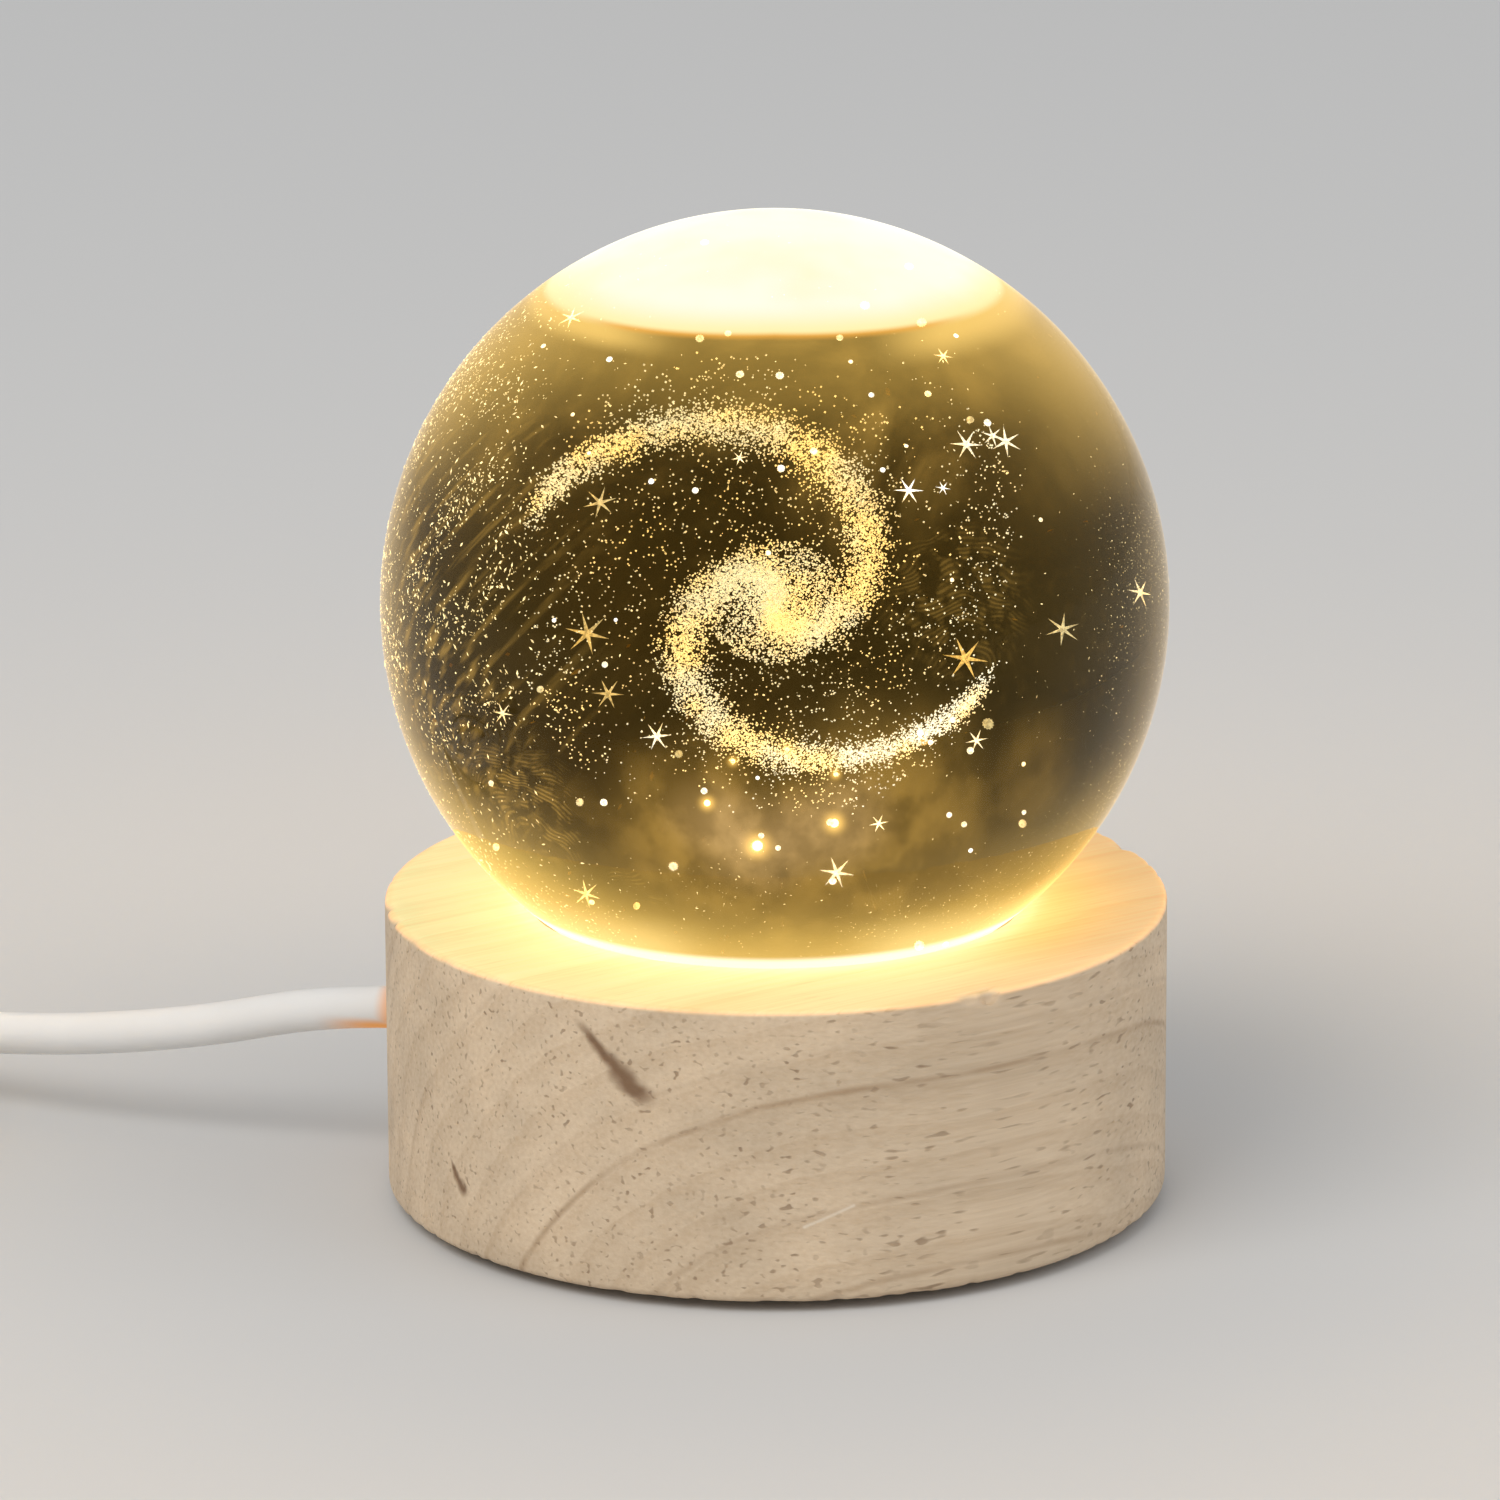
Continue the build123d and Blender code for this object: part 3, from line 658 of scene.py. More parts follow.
mouth = cable_way * BASE_R + Vector((0, 0, CABLE_AXIS_Z))
coil_turns = 2 * LAYER_TURNS + CLIMB_TURNS
coil_steps = round(coil_turns * POINTS_PER_TURN)
coil = [coil_point(coil_turns * step / coil_steps) for step in range(coil_steps + 1)]
way_in = (coil_point(0.001) - coil_point(-0.001)).normalized()
way_out = (coil_point(coil_turns + 0.001) - coil_point(coil_turns - 0.001)).normalized()
coil_first = coil[0] - way_in * CABLE_D
coil_last = coil[-1] + way_out * CABLE_D
route = [mouth, mouth + cable_way * LEAD_STUB - Vector((0, 0, LEAD_SAG))]
route += [Vector(point) for point in LEAD_POINTS]
route += [coil_first - way_in * RUN_IN, coil_first]
route += coil
route += [coil_last, coil_last + way_out * RUN_OUT]
route += [Vector(point) for point in TAIL_POINTS]
route.append(Vector(PLUG_END))

lead_line = bpy.data.curves.new("white_lead", "CURVE")
lead_line.dimensions = "3D"
lead_line.bevel_depth = CABLE_D / 2 * MM
lead_line.bevel_resolution = 8
lead_line.use_fill_caps = True
lead_line.resolution_u = 6
spline = lead_line.splines.new("NURBS")
spline.points.add(len(route) - 1)
for point, at in zip(spline.points, route):
    point.co = (*(at * MM), 1.0)
spline.order_u = 3
spline.use_endpoint_u = True
spline.use_smooth = True
lead = bpy.data.objects.new("white_lead", lead_line)
scene.collection.objects.link(lead)

vinyl = {"cloud": 90.0, "grain": 3500.0, "relief": 0.1}
jacket, shader, skin = mottled(["cable_inlet"], "lead_jacket", JACKET, JACKET_DULL, 0.3, 0.42, **vinyl)
lead_line.materials.append(jacket)
# Painted light: at the hole and along its underside next to it, the jacket is painted amber and glows
from_mouth = vector_in("SUBTRACT", place_in(shader), tuple(mouth * MM))
out_of_hole = length_in("DOT_PRODUCT", from_mouth, tuple(cable_way * 1000))
underside = between(axis_of(from_mouth, 2), -0.0004, -0.0013)
glow_under = times(underside, between(out_of_hole, 1.5, 7.0, 1.0, 0.0))
exit_glow = most(between(out_of_hole, 0.7, 2.0, 0.7, 0.0), glow_under)
fed(shader, {"Base Color": blended(exit_glow, skin["Colour"], EXIT_GLOW_AMBER)})
glows(shader, blended(exit_glow, (0, 0, 0), EXIT_GLOW), EXIT_STRENGTH)

# Tie
# A flat white plastic-covered wire tie round the coil. Its strip is thickest along the wire in its
# middle, and its two ends are twisted together inside the coil.
TIE_BEARING = math.radians(25)
TIE_W = 3.2
TIE_T = 0.5
TIE_CORNER_R = 1.35
TIE_TAIL_L = 9.0
TIE_TURNS = 2.5
TIE_GAP = 0.25
TAIL_W_SHARE = 0.7
TAIL_T_SHARE = 1.9
COIL_MEAN_R = COIL_OUTER_R - COIL_PITCH * LAYER_TURNS / 2
tie_reach = COIL_PITCH * LAYER_TURNS + CABLE_D + 2 * TIE_GAP + TIE_T
tie_height = COIL_MIDDLE[2] + COIL_PITCH + CABLE_D / 2 + TIE_GAP
tie_white = mottled([], "tie", (0.8, 0.8, 0.79), (0.74, 0.74, 0.72), 0.3, 0.45)
tree, given = growth_tree(
    "twisted_tie", ("Reach", "Height", "Corner", "Width", "Thickness", "Tail", "Turns")
)
loop = {"Width": given["Reach"], "Height": given["Height"]}
loop = first_of(tree, "GeometryNodeCurvePrimitiveQuadrilateral", loop)
loop = {"Curve": loop, "Count": 6, "Radius": given["Corner"]}
loop = first_of(tree, "GeometryNodeFilletCurve", loop, mode="POLY")
loop = first_of(tree, "GeometryNodeSetCurveNormal", {"Curve": loop}, mode="Z_UP")
inner_end = times(given["Reach"], -0.5)
tail_end = less(inner_end, given["Tail"])
tail = {"Start": vector_of(tree, inner_end), "End": vector_of(tree, tail_end)}
tail = first_of(tree, "GeometryNodeCurvePrimitiveLine", tail)
tail = first_of(tree, "GeometryNodeResampleCurve", {"Curve": tail, "Count": 60})
along = node_in(tree, "GeometryNodeSplineParameter").outputs["Factor"]
twist = times(along, given["Turns"], 2 * math.pi)
tail = first_of(tree, "GeometryNodeSetCurveTilt", {"Curve": tail, "Tilt": twist})
tie = node_in(tree, "GeometryNodeJoinGeometry")
for line, width_share, thick_share in ((loop, 1.0, 1.0), (tail, TAIL_W_SHARE, TAIL_T_SHARE)):
    section = {"Resolution": 20, "Radius": 0.5}
    section = first_of(tree, "GeometryNodeCurvePrimitiveCircle", section)
    wide = times(given["Width"], width_share)
    thick = times(given["Thickness"], thick_share)
    section = {"Geometry": section, "Scale": vector_of(tree, thick, wide, 1.0)}
    section = first_of(tree, "GeometryNodeTransform", section)
    strip = {"Curve": line, "Profile Curve": section, "Fill Caps": True}
    fed(tie, {0: first_of(tree, "GeometryNodeCurveToMesh", strip)})
ends_real(given, tie.outputs[0])
tie_out = Vector((math.cos(TIE_BEARING), math.sin(TIE_BEARING), 0))
tie_up = Vector((0, 0, 1))
tie_turn = Matrix((tie_out, tie_up, tie_out.cross(tie_up))).transposed().to_4x4()
tie_middle = Vector((*COIL_MIDDLE[:2], (tie_height + TIE_T) / 2)) + tie_out * COIL_MEAN_R
tie_values = {"Reach": tie_reach, "Height": tie_height, "Corner": TIE_CORNER_R, "Width": TIE_W}
tie_values.update({"Thickness": TIE_T, "Tail": TIE_TAIL_L})
tie_values = {label: length * MM for label, length in tie_values.items()}
tie_values["Turns"] = TIE_TURNS
tie_place = Matrix.Translation(tie_middle * MM) @ tie_turn
tie = grown("twisted_tie", tree, tie_values, tie_white[0], tie_place)
tie.data.shade_smooth()
tie.data.set_sharp_from_angle(angle=math.radians(60))
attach(tie, "base")
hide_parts("coil_tie")

# USB plug
# A white moulded body with a ribbed relief for the lead, and a folded nickel-plated shell that holds a
# white tongue with four gilt contacts.
PLUG_PIECES = ["plug_relief", "plug_body", "plug_shell", "plug_tongue", "plug_contacts"]
NICKEL = (0.68, 0.67, 0.65)
GILT = (0.83, 0.6, 0.22)
moulded = {"cloud": 150.0, "grain": 4500.0, "relief": 0.3}
mottled(PLUG_PIECES[:2], "plug_plastic", JACKET, (0.79, 0.78, 0.76), 0.38, 0.55, **moulded)
folded = {"cloud": 400.0, "grain": 700.0, "relief": 0.02, "metal": 1.0}
mottled(["plug_shell"], "plug_metal", NICKEL, (0.6, 0.59, 0.57), 0.16, 0.22, **folded)
mottled(["plug_tongue"], "tongue", (0.8, 0.8, 0.78), (0.74, 0.74, 0.72), 0.4, 0.55)
mottled(["plug_contacts"], "contact", GILT, (0.74, 0.52, 0.18), 0.16, 0.3, metal=1.0)

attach(lead, "base")
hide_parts("cable_lead", "cable_coil", "cable_tail")

# Glass ball
# A solid polished ball of optical glass, 60 mm across, standing loose on the recess's rim. It is tinted
# deep amber in place of the LEDs' warm light. Its crown, its foot and its edges carry painted glow, and
# a thin film of dust and finger marks on its skin glows gold with painted light.
BALL_R = 30.0
BALL_Z = 46.65
GLASS_IOR = 1.52
# Painted light: the deep amber that the whole ball lets through stands in for the LEDs' warm light
GLASS_THROUGH = (0.048, 0.029, 0.0045)
GLASS_GLEAM = (0.4, 0.26, 0.08)
# Painted light: colours of the glow painted on the ball's skin. These are a bright crown in place of the
# lit recess seen through the ball, gold at the foot, at the edges and on the dust film, and a bright
# line at the seat
CROWN_START = 0.828
CROWN_GLOW_YELLOW = (1.0, 0.87, 0.4)
CROWN_GLOW_WHITE = (1.0, 0.97, 0.82)
CROWN_GLOW_RIM = (0.86, 0.4, 0.06)
LIMB_GLOW_GOLD = (0.36, 0.215, 0.035)
FOOT_GLOW_GOLD = (0.72, 0.45, 0.09)
FILM_GLOW_GOLD = (0.36, 0.21, 0.042)
SEAT_LINE_GLOW = (1.25, 1.15, 0.8)
CROWN_ENDS_GLOW = (0.93, 0.6, 0.15)
FOOT_SIDES_GLOW = (0.98, 0.69, 0.22)
LIT_HAZE_GLOW = (0.66, 0.42, 0.17)
# Finger marks, which glow gold with painted light: where they lie on a ball of radius 1, their own
# radius, their strength
FINGER_MARKS = (
    ((-0.623, -0.714, -0.32), 0.24, 0.85),
    ((0.45, -0.86, 0.24), 0.26, 0.35),
    ((-0.30, -0.83, -0.47), 0.2, 0.6),
    ((0.72, 0.62, 0.3), 0.24, 0.8),
    ((-0.7, 0.66, 0.27), 0.25, 0.7),
)
RIDGE_SPACING = 0.0135
# Hazy patches, where the dust is too fine to see and glows gold with painted light: place, radius,
# strength
HAZE = (
    ((0.214, -0.904, -0.368), 0.5, 0.9),
    ((-0.16, -0.915, -0.37), 0.4, 1.0),
    ((0.42, -0.72, -0.55), 0.4, 0.5),
    ((0.62, -0.74, -0.256), 0.26, 0.35),
    ((0.62, -0.5, 0.6), 0.42, 0.22),
    ((0.443, -0.51, 0.737), 0.24, 0.6),
    ((0.58, -0.232, 0.782), 0.2, 0.8),
    ((-0.58, -0.232, 0.782), 0.2, 0.75),
    ((-0.3, 0.86, -0.4), 0.5, 0.6),
)
# Painted glow of the dust in front of the lights' images: place, radius, strength
LIT_HAZE = (
    ((-0.173, -0.943, -0.285), 0.15, 0.45),
    ((-0.048, -0.931, -0.36), 0.2, 0.75),
    ((0.143, -0.94, -0.31), 0.19, 0.7),
)
WIPE_TURN = (0.0, math.radians(50), math.radians(20))


def plus(*values):
    return in_turn("ADD", values)


ball_shape = bmesh.new()
bmesh.ops.create_icosphere(ball_shape, subdivisions=7, radius=BALL_R * MM)
ball_shape.transform(Matrix.Translation((0, 0, BALL_Z * MM)))
crystal, glass = finish_of("crystal", (1.0, 1.0, 1.0), 0.0)
tree = glass.id_data
fed(glass, {"Transmission Weight": 1.0, "IOR": GLASS_IOR, "Specular Tint": (*GLASS_GLEAM, 1)})
fed(glass, {"Sheen Weight": 0.03, "Sheen Roughness": 0.28, "Sheen Tint": (1.0, 0.74, 0.28, 1)})
to_unit = {"Vector": place_in(tree), "Location": (0, 0, -BALL_Z / BALL_R)}
to_unit["Scale"] = [1 / (BALL_R * MM)] * 3
on_ball = first_of(tree, "ShaderNodeMapping", to_unit)
side = axis_of(on_ball, 0)
level = axis_of(on_ball, 2)
# A film of dust and finger marks: it sets the roughness and also where the skin glows with painted gold
# light
film = {"Vector": on_ball, "Scale": 1.9, "Detail": 6.0, "Roughness": 0.62, "Distortion": 0.7}
film = first_of(tree, "ShaderNodeTexNoise", film)
film = between(film, 0.4, 0.74)
ripple = between(cloudy(on_ball, (9.0, 9.0, 7.0), 4.0), 0.35, 0.7, 0.45, 1.0)
low_and_high = most(between(level, -0.1, -0.55, 0.06, 1.1), between(level, 0.3, 0.65, 0.06, 0.8))
wiped = first_of(tree, "ShaderNodeMapping", {"Vector": on_ball, "Rotation": WIPE_TURN})
wiped = between(cloudy(wiped, (2.2, 34.0, 34.0), 5.0), 0.46, 0.74)
wiped = times(wiped, between(side, -0.35, -0.85, 0.05, 0.75))
film = times(film, ripple, low_and_high, between(side, 0.75, 0.35, 0.35, 1.0))
film = most(film, wiped)
for middle, radius, strength in HAZE:
    off = length_in("DISTANCE", on_ball, middle)
    haze = times(between(off, radius, radius * 0.2, 0.0, strength), ripple)
    film = most(film, haze)
swirl = times(cloudy(on_ball, (5.0, 5.0, 5.0), 2.0), 0.16)
smear = between(cloudy(on_ball, (22.0, 22.0, 22.0), 3.0), 0.4, 0.62)
for middle, radius, strength in FINGER_MARKS:
    off = length_in("DISTANCE", on_ball, middle)
    arch = length_in("DISTANCE", on_ball, (middle[0], middle[1], middle[2] - radius))
    ridge = times(plus(arch, swirl), 2 * math.pi / RIDGE_SPACING)
    ridge = between(sum_in("SINE", ridge), -0.6, 0.9, 0.35, 1.0)
    near = between(off, radius * 0.3, radius, 1.0, 0.0)
    film = most(film, times(ridge, smear, strength, near))
fed(glass, {"Roughness": between(film, 0.0, 1.0, 0.0, 0.05)})
# Painted light: the skin gives off a glow, with a bright crown, gold haze under it, at the foot, at the
# edges and on the dust film, and a bright seat line
outwards = sum_in("ABSOLUTE", side)
crown_level = times_plus(outwards, 0.02, level)
crown = between(crown_level, CROWN_START - 0.006, CROWN_START + 0.008)
crown_cloud = between(cloudy(on_ball, (2.4, 2.4, 2.4), 3.0), 0.3, 0.65, 0.55, 1.0)
crown_white_glow = times(between(crown_level, CROWN_START, 0.895), crown_cloud)
crown_glow_colour = blended(crown_white_glow, CROWN_GLOW_YELLOW, CROWN_GLOW_WHITE)
crown_glow_edge = between(crown_level, CROWN_START + 0.014, CROWN_START + 0.002)
crown_glow_edge = times(crown_glow_edge, between(outwards, 0.52, 0.35, 0.2, 1.0))
crown_glow_colour = blended(crown_glow_edge, crown_glow_colour, CROWN_GLOW_RIM)
under_crown = between(level, 0.55, CROWN_START, 0.0, 0.35)
at_foot = between(level, -0.5, -0.82, 0.0, 0.9)
film_glow_colour = blended(film, (0, 0, 0), FILM_GLOW_GOLD)
foot_glow_colour = blended(at_foot, film_glow_colour, FOOT_GLOW_GOLD)
below = blended(under_crown, foot_glow_colour, FOOT_GLOW_GOLD)
facing = node_in(tree, "ShaderNodeLayerWeight", {"Blend": 0.5}).outputs["Facing"]
left_side = between(side, 0.3, -0.6, 0.5, 1.0)
limb = times(between(facing, 0.5, 1.0), left_side)
below = blended(limb, below, LIMB_GLOW_GOLD)
low_limb = times(between(level, -0.2, -0.62), left_side)
low_limb = most(low_limb, between(level, 0.3, 0.7, 0.0, 0.64))
low_limb = times(low_limb, between(facing, 0.2, 0.75))
below = blended(low_limb, below, FOOT_GLOW_GOLD)
end_start = between(side, -0.3, 0.3, 0.768, 0.742)
crown_end = times(between(level, end_start, 0.808, 0.0, 0.9), between(outwards, 0.2, 0.45))
below = blended(crown_end, below, CROWN_ENDS_GLOW)
foot_side = times(between(level, -0.58, -0.72, 0.0, 0.72), between(outwards, 0.12, 0.36))
below = blended(foot_side, below, FOOT_SIDES_GLOW)
lit = []
for middle, radius, strength in LIT_HAZE:
    off = length_in("DISTANCE", on_ball, middle)
    lit.append(times(between(off, radius, 0.0, 0.0, strength), ripple))
below = blended(plus(*lit), below, LIT_HAZE_GLOW)
seat_line_glow = between(level, -0.722, -0.75, 0.0, 0.95)
below = blended(seat_line_glow, below, SEAT_LINE_GLOW)
glows(glass, blended(crown, below, crown_glow_colour), 1.0)
clear_shadow = first_of(tree, "ShaderNodeBsdfTransparent")
shadow_ray = node_in(tree, "ShaderNodeLightPath").outputs["Is Shadow Ray"]
glass_or_clear = {0: shadow_ray, 1: glass.outputs[0], 2: clear_shadow}
glass_or_clear = first_of(tree, "ShaderNodeMixShader", glass_or_clear)
# Painted light: the amber volume tints clear glass in place of the LEDs' warm light
taken = [-math.log(share) / (2 * BALL_R * MM) for share in GLASS_THROUGH]
density = max(taken) * 1.05
amber = {"Color": (*(1 - part / density for part in taken), 1), "Density": density}
amber = first_of(tree, "ShaderNodeVolumeAbsorption", amber)
fed(tree.nodes["Material Output"], {"Surface": glass_or_clear, "Volume": amber})
ball = piece_from("glass_ball", ball_shape, crystal)
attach(ball, "ball")
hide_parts("crystal_ball")

# Engraving
# A spiral of stars burnt into the middle of the glass by a laser, dot by dot, with loose dots and
# small six-rayed stars round it. The dots are tiny white cracks, and they give off a painted glow in
# place of the light that they catch from below.
SPIRAL_R = 13.0
SPIRAL_HEART_R = 3.4
SPIRAL_ROLL = math.radians(-14)
SPIRAL_TILT = math.radians(50)
DOT_R = 0.05
ENGRAVED_GLOW = (0.66, 0.72, 1.0)
ENGRAVED_GLOW_WARM = (1.0, 0.82, 0.62)
ENGRAVED_STRENGTH = 6.2
engraved, shader = finish_of("engraved", (0.3, 0.29, 0.26), 0.7)
place = place_in(shader)
# Painted light: the dots' glow, bluish white to warm, with fine sparkle
warmth = between(cloudy(place, (260.0, 260.0, 260.0), 2.0), 0.4, 0.65)
sparks = between(cloudy(place, (7000.0, 7000.0, 7000.0), 1.0), 0.35, 0.65, 0.55, 1.15)
engraved_glow_colour = resized(blended(warmth, ENGRAVED_GLOW, ENGRAVED_GLOW_WARM), sparks)
glows(shader, engraved_glow_colour, ENGRAVED_STRENGTH)


def chance(tree, low, high, seed):
    """A random value for each point, with a fixed seed."""
    drawn = {2: low, 3: high, 8: seed}
    return node_in(tree, "FunctionNodeRandomValue", drawn, data_type="FLOAT").outputs[1]


def bell(tree, spread, seed):
    """A random value round nought, more often small than large."""
    thrown = [chance(tree, -1.0, 1.0, seed + step) for step in range(3)]
    return times(plus(*thrown), spread)


def octahedron(tree, radius):
    """The smallest round shape: eight faces."""
    eighths = {"Segments": 4, "Rings": 2, "Radius": radius}
    return first_of(tree, "GeometryNodeMeshUVSphere", eighths)


# Dots of the spiral: arms that wind out from the heart, each a frayed band of dots
tree, given = growth_tree(
    "spiral_of_dots", ("Arms", "Radius", "Winding", "Fray", "Thickness", "Dot Radius"), Dots="Int"
)
number = first_of(tree, "GeometryNodeInputIndex")
arm = sum_in("DIVIDE", sum_in("MODULO", number, given["Arms"]), given["Arms"])
share = sum_in("POWER", chance(tree, 0.0, 1.0, 3), 0.85)
winding = times(sum_in("POWER", share, 0.55), given["Winding"])
fray = times(bell(tree, 1.0, 11), given["Fray"], less(1.25, share))
bearing = plus(times_plus(arm, 2 * math.pi, winding), fray)
radius = times(plus(share, bell(tree, 0.02, 21)), given["Radius"])
height = times(bell(tree, 1.0, 31), given["Thickness"], less(1.15, share))
flat_at = [times(radius, sum_in(turned_by, bearing)) for turned_by in ("COSINE", "SINE")]
points = set_out(tree, given["Dots"], vector_of(tree, *flat_at, height))
planted(given, points, octahedron(tree, given["Dot Radius"]), chance(tree, 0.6, 1.4, 41))

middle = Matrix.Translation((0, 0, BALL_Z * MM))
tilted = middle @ Matrix.Rotation(SPIRAL_ROLL, 4, "Y") @ Matrix.Rotation(SPIRAL_TILT, 4, "X")
for name, values in (
    ("arms", {"Dots": 18000, "Arms": 2.0, "Radius": SPIRAL_R * MM, "Winding": 5.6, "Fray": 0.27}),
    ("veil", {"Dots": 3500, "Arms": 4.0, "Radius": SPIRAL_R * 1.05 * MM, "Winding": 5.2, "Fray": 0.7}),
    ("heart", {"Dots": 4200, "Arms": 7.0, "Radius": SPIRAL_HEART_R * MM, "Winding": 3.0, "Fray": 2.0}),
):
    values["Thickness"] = 0.0006 if name == "heart" else 0.0003
    values["Dot Radius"] = DOT_R * MM
    part = grown("spiral_" + name, tree, values, engraved, tilted)
    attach(part, "ball")
    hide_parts("engraved_spiral")

# Loose dots and stars in the glass round the spiral, between two distances from its middle
LOOSE_INNER = 12.5
LOOSE_OUTER = 19.5
RAY_TURNS = (0, 60, 120)
tree, given = growth_tree("loose_stars", ("Inner", "Outer", "Size", "Ray"), Count="Int", Seed="Int")
seed = given["Seed"]
way = [chance(tree, -1.0, 1.0, plus(seed, step)) for step in (1.0, 2.0, 3.0)]
way = vector_in("NORMALIZE", vector_of(tree, *way))
reach = chance(tree, given["Inner"], given["Outer"], plus(seed, 4.0))
points = set_out(tree, given["Count"], resized(way, reach))
star = node_in(tree, "GeometryNodeJoinGeometry")
for turn in RAY_TURNS:
    ray = {"Geometry": octahedron(tree, given["Size"]), "Rotation": (0, math.radians(turn), 0)}
    ray["Scale"] = vector_of(tree, 1.0, given["Ray"], given["Ray"])
    fed(star, {0: first_of(tree, "GeometryNodeTransform", ray)})
tilt = vector_of(tree, 0.0, chance(tree, 0.0, 3.0, 7))
planted(given, points, star.outputs[0], chance(tree, 0.6, 1.2, 8), tilt)
for name, values in (
    ("loose_dots", {"Count": 60, "Size": 0.00021, "Ray": 1.0, "Seed": 60}),
    ("loose_stars", {"Count": 20, "Size": 0.0008, "Ray": 0.11, "Seed": 80}),
):
    values.update({"Inner": LOOSE_INNER * MM, "Outer": LOOSE_OUTER * MM})
    part = grown(name, tree, values, engraved, middle)
    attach(part, "ball")

# Painted reflections: glowing balls with soft halos stand in for the images of the six LEDs, which the
# ball shows low down by reflection inside it. Places seen from the front, right and up from the ball's
# centre, and radii
GLINTS = (
    (-3.5, -10.2, 0.17),
    (-0.95, -12.5, 0.28),
    (3.0, -11.3, 0.23),
    (3.05, -8.7, 0.12),
    (0.6, -7.4, 0.12),
    (-2.15, -8.0, 0.12),
)
ELEVATION = math.radians(16.192)
SIGHT_UP = Vector((0, math.sin(ELEVATION), math.cos(ELEVATION)))
HALO_SHARE = 6.5
HALO_FALL = 20.0
HALO_ALPHA = 0.14
GLINT_STRENGTH = 15.0
glints = bmesh.new()
halos = bmesh.new()
for right, above, radius in GLINTS:
    at = Matrix.Translation((Vector((right, 0, BALL_Z)) + SIGHT_UP * above) * MM)
    bmesh.ops.create_icosphere(glints, subdivisions=2, radius=radius * MM, matrix=at)
    bmesh.ops.create_icosphere(halos, subdivisions=3, radius=radius * HALO_SHARE * MM, matrix=at)
# Painted reflection: the glints and their halos give off light
glint, shader = finish_of("glint", (0.3, 0.26, 0.2), 0.5)
glows(shader, (1.0, 0.9, 0.72), GLINT_STRENGTH)
halo, shader = finish_of("halo", (0.0, 0.0, 0.0), 1.0)
facing = node_in(shader.id_data, "ShaderNodeLayerWeight", {"Blend": 0.5}).outputs["Facing"]
faint = times(sum_in("POWER", less(1.0, facing), HALO_FALL), HALO_ALPHA)
fed(shader, {"Specular IOR Level": 0.0, "Alpha": faint})
glows(shader, (1.0, 0.72, 0.34), GLINT_STRENGTH)
for name, shape, material in (("led_images", glints, glint), ("led_halos", halos, halo)):
    part = piece_from(name, shape, material)
    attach(part, "ball")

# Dust
# Specks of dust and lint on the ball's skin, thickest high on its left, where a wipe has drawn them into
# bands. The light inside the ball lights them, and each also gives off a painted gold glow, dim or
# bright.
DUST_GLOW_DIM = (0.34, 0.23, 0.07)
DUST_GLOW_BRIGHT = (1.0, 0.8, 0.36)
DUST_STRENGTH = 1.5
DUST_PER_M2 = 14000000.0
SPECK_R = 0.08
dust, shader = finish_of("dust", (0.8, 0.66, 0.4), 0.6)
# Painted light: each speck's gold glow, dim or bright
bright_glow_share = between(cloudy(place_in(shader), (3000.0, 3000.0, 3000.0), 1.0), 0.35, 0.65)
glows(shader, blended(bright_glow_share, DUST_GLOW_DIM, DUST_GLOW_BRIGHT), DUST_STRENGTH)
tree, given = growth_tree("dust_on_skin", ("Radius", "Density", "Speck"))
skin_of_ball = {"Radius": given["Radius"], "Subdivisions": 5}
skin_of_ball = first_of(tree, "GeometryNodeMeshIcoSphere", skin_of_ball)
skin_at = first_of(tree, "GeometryNodeInputPosition")
skin_way = vector_in("NORMALIZE", skin_at)
skin_side = axis_of(skin_way, 0)
skin_level = axis_of(skin_way, 2)
patch = first_of(tree, "ShaderNodeTexNoise", {"Scale": 110.0, "Detail": 2.0})
patch = between(patch, 0.42, 0.62, 0.05, 1.0)
wiped = {"Vector": skin_at, "Rotation": WIPE_TURN}
wiped = first_of(tree, "ShaderNodeVectorRotate", wiped, rotation_type="EULER_XYZ")
wiped = between(cloudy(wiped, (80.0, 520.0, 520.0), 2.0), 0.46, 0.62, 0.04, 1.0)
left = times(between(skin_side, -0.45, -0.85), wiped, between(skin_level, -0.45, 0.2, 0.22, 1.0))
right = times(between(skin_side, 0.75, 0.97, 0.0, 0.7), patch)
low = times(between(skin_level, -0.3, -0.7, 0.0, 0.22), patch)
thick = times(times_plus(patch, 0.03, plus(left, right, low)), given["Density"])
lying = {"Mesh": skin_of_ball, "Density": thick, "Seed": 5}
lying = node_in(tree, "GeometryNodeDistributePointsOnFaces", lying, distribute_method="RANDOM").outputs
spin = {"Axis": (0, 0, 1), "Angle": chance(tree, 0.0, 2 * math.pi, 13)}
spin = first_of(tree, "FunctionNodeAxisAngleToRotation", spin)
spun = {"Rotation": lying["Rotation"], "Rotate By": spin}
spun = first_of(tree, "FunctionNodeRotateRotation", spun, rotation_space="LOCAL")
speck_size = times_plus(sum_in("POWER", chance(tree, 0.0, 1.0, 9), 4.0), 1.0, 0.5)
speck_size = times(speck_size, between(skin_side, -0.3, -0.7, 0.55, 1.15))
flake = resized(vector_of(tree, chance(tree, 0.8, 2.6, 15), 0.8, 0.5), speck_size)
planted(given, lying["Points"], octahedron(tree, given["Speck"]), flake, spun)
dust_values = {"Radius": BALL_R * MM, "Density": DUST_PER_M2, "Speck": SPECK_R * MM}
specks = grown("dust_specks", tree, dust_values, dust, middle)
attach(specks, "ball")

# Floor, light and camera
# A plain pale table top under soft light from a large lamp above the left and a fill from the right.
# The lamp's own glow leaves the ball on all sides, so a soft warm light stands in its middle.
FLOOR_PALE = (0.62, 0.615, 0.605)
FLOOR_SIZE = 3.0
BACKDROP = (0.42, 0.42, 0.42)
LAMP_AIM = Vector((0, 0, 0.04))
floor_shape = bmesh.new()
bmesh.ops.create_grid(floor_shape, x_segments=1, y_segments=1, size=FLOOR_SIZE)
floor = piece_from("floor", floor_shape, finish_of("floor", FLOOR_PALE, 0.75)[0])


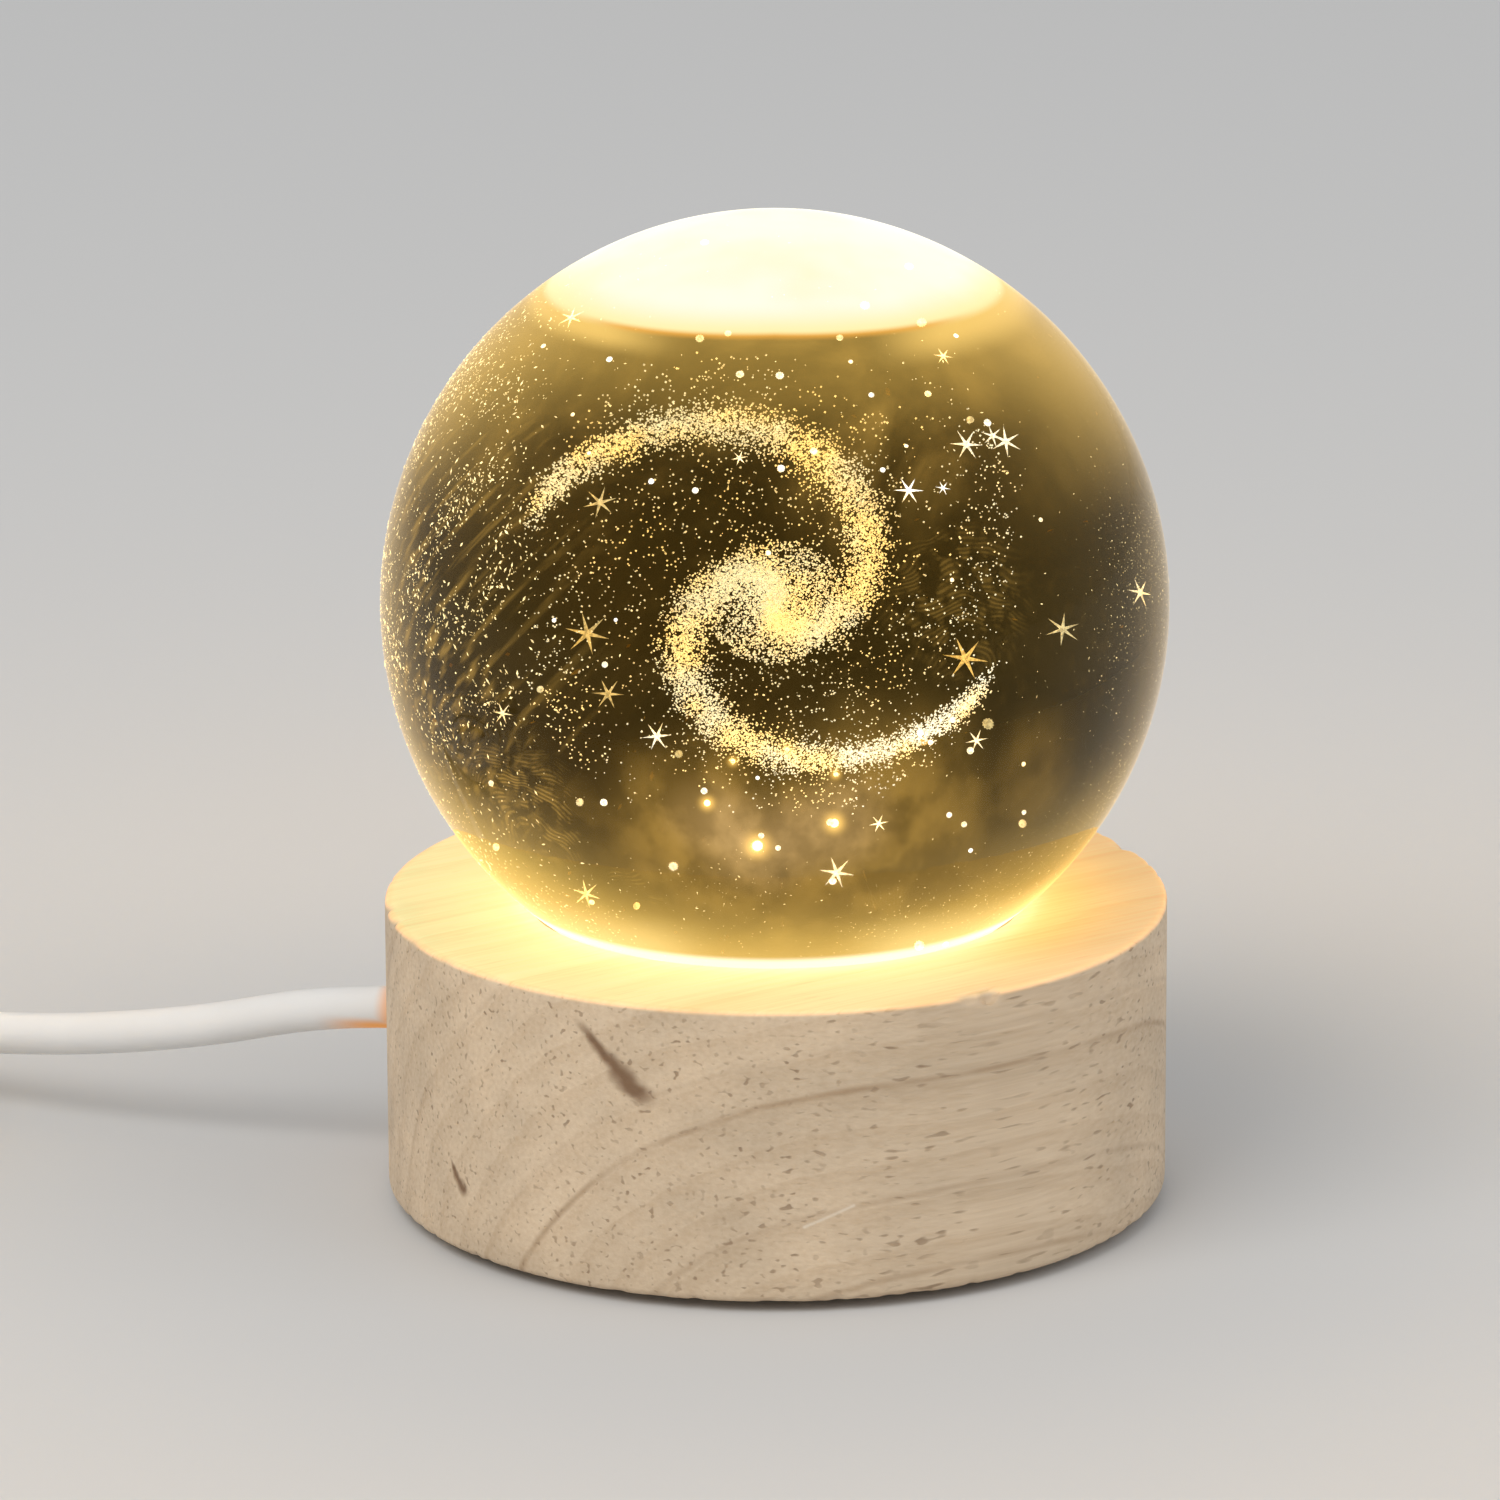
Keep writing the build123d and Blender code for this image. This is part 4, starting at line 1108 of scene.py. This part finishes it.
def lamp(name, at, power, size, colour):
    """A soft light aimed at the ball. A size of two numbers makes a flat lamp, one a round glow."""
    flat = isinstance(size, tuple)
    data = bpy.data.lights.new(name, "AREA" if flat else "POINT")
    data.energy = power
    data.color = colour
    if flat:
        data.shape = "RECTANGLE"
        data.size, data.size_y = size
    else:
        data.shadow_soft_size = size
    made = bpy.data.objects.new(name, data)
    made.location = at
    made.rotation_euler = (LAMP_AIM - Vector(at)).to_track_quat("-Z", "Y").to_euler()
    made.visible_camera = False
    made.visible_glossy = False
    made.visible_transmission = False
    scene.collection.objects.link(made)
    return made


lamp("key", (-0.6, -0.7, 1.1), 9.5, (0.9, 0.9), (1.0, 0.98, 0.95))
lamp("fill", (0.9, -0.4, 0.7), 2.4, (0.8, 0.8), (0.93, 0.96, 1.0))
glow = lamp("glow", (0, 0, BALL_Z * MM), 1.6, 0.02, (1.0, 0.78, 0.56))
glow.parent = ball

world = bpy.data.worlds.new("studio")
scene.world = world
world.use_nodes = True
tree = world.node_tree
soft_light = tree.nodes["Background"]
fed(soft_light, {"Color": (0.95, 0.97, 1.0, 1), "Strength": 0.6})
backdrop = first_of(tree, "ShaderNodeBackground", {"Color": tint(BACKDROP)})
rays = node_in(tree, "ShaderNodeLightPath").outputs
seen = most(rays["Is Camera Ray"], rays["Is Glossy Ray"], rays["Is Transmission Ray"])
either = first_of(tree, "ShaderNodeMixShader", {0: seen, 1: soft_light.outputs[0], 2: backdrop})
fed(tree.nodes["World Output"], {"Surface": either})

AIM = Vector((-0.001939, 0.0, 0.03501))
DISTANCE = 0.7337
ROLL = math.radians(-0.254)
LENS = 230.47
back = Vector((0, -math.cos(ELEVATION), math.sin(ELEVATION)))
right = Vector((1, 0, 0))
up = back.cross(right)
right, up = right * math.cos(ROLL) + up * math.sin(ROLL), up * math.cos(ROLL) - right * math.sin(ROLL)
view = bpy.data.cameras.new("view")
view.lens = LENS
view.sensor_width = 36.0
view.clip_start = 0.02
camera = bpy.data.objects.new("view", view)
turn = Matrix((right, up, back)).transposed().to_4x4()
camera.matrix_world = Matrix.Translation(AIM + back * DISTANCE) @ turn
scene.collection.objects.link(camera)
scene.camera = camera
scene.view_settings.view_transform = "Standard"
scene.cycles.caustics_reflective = False
scene.cycles.caustics_refractive = False
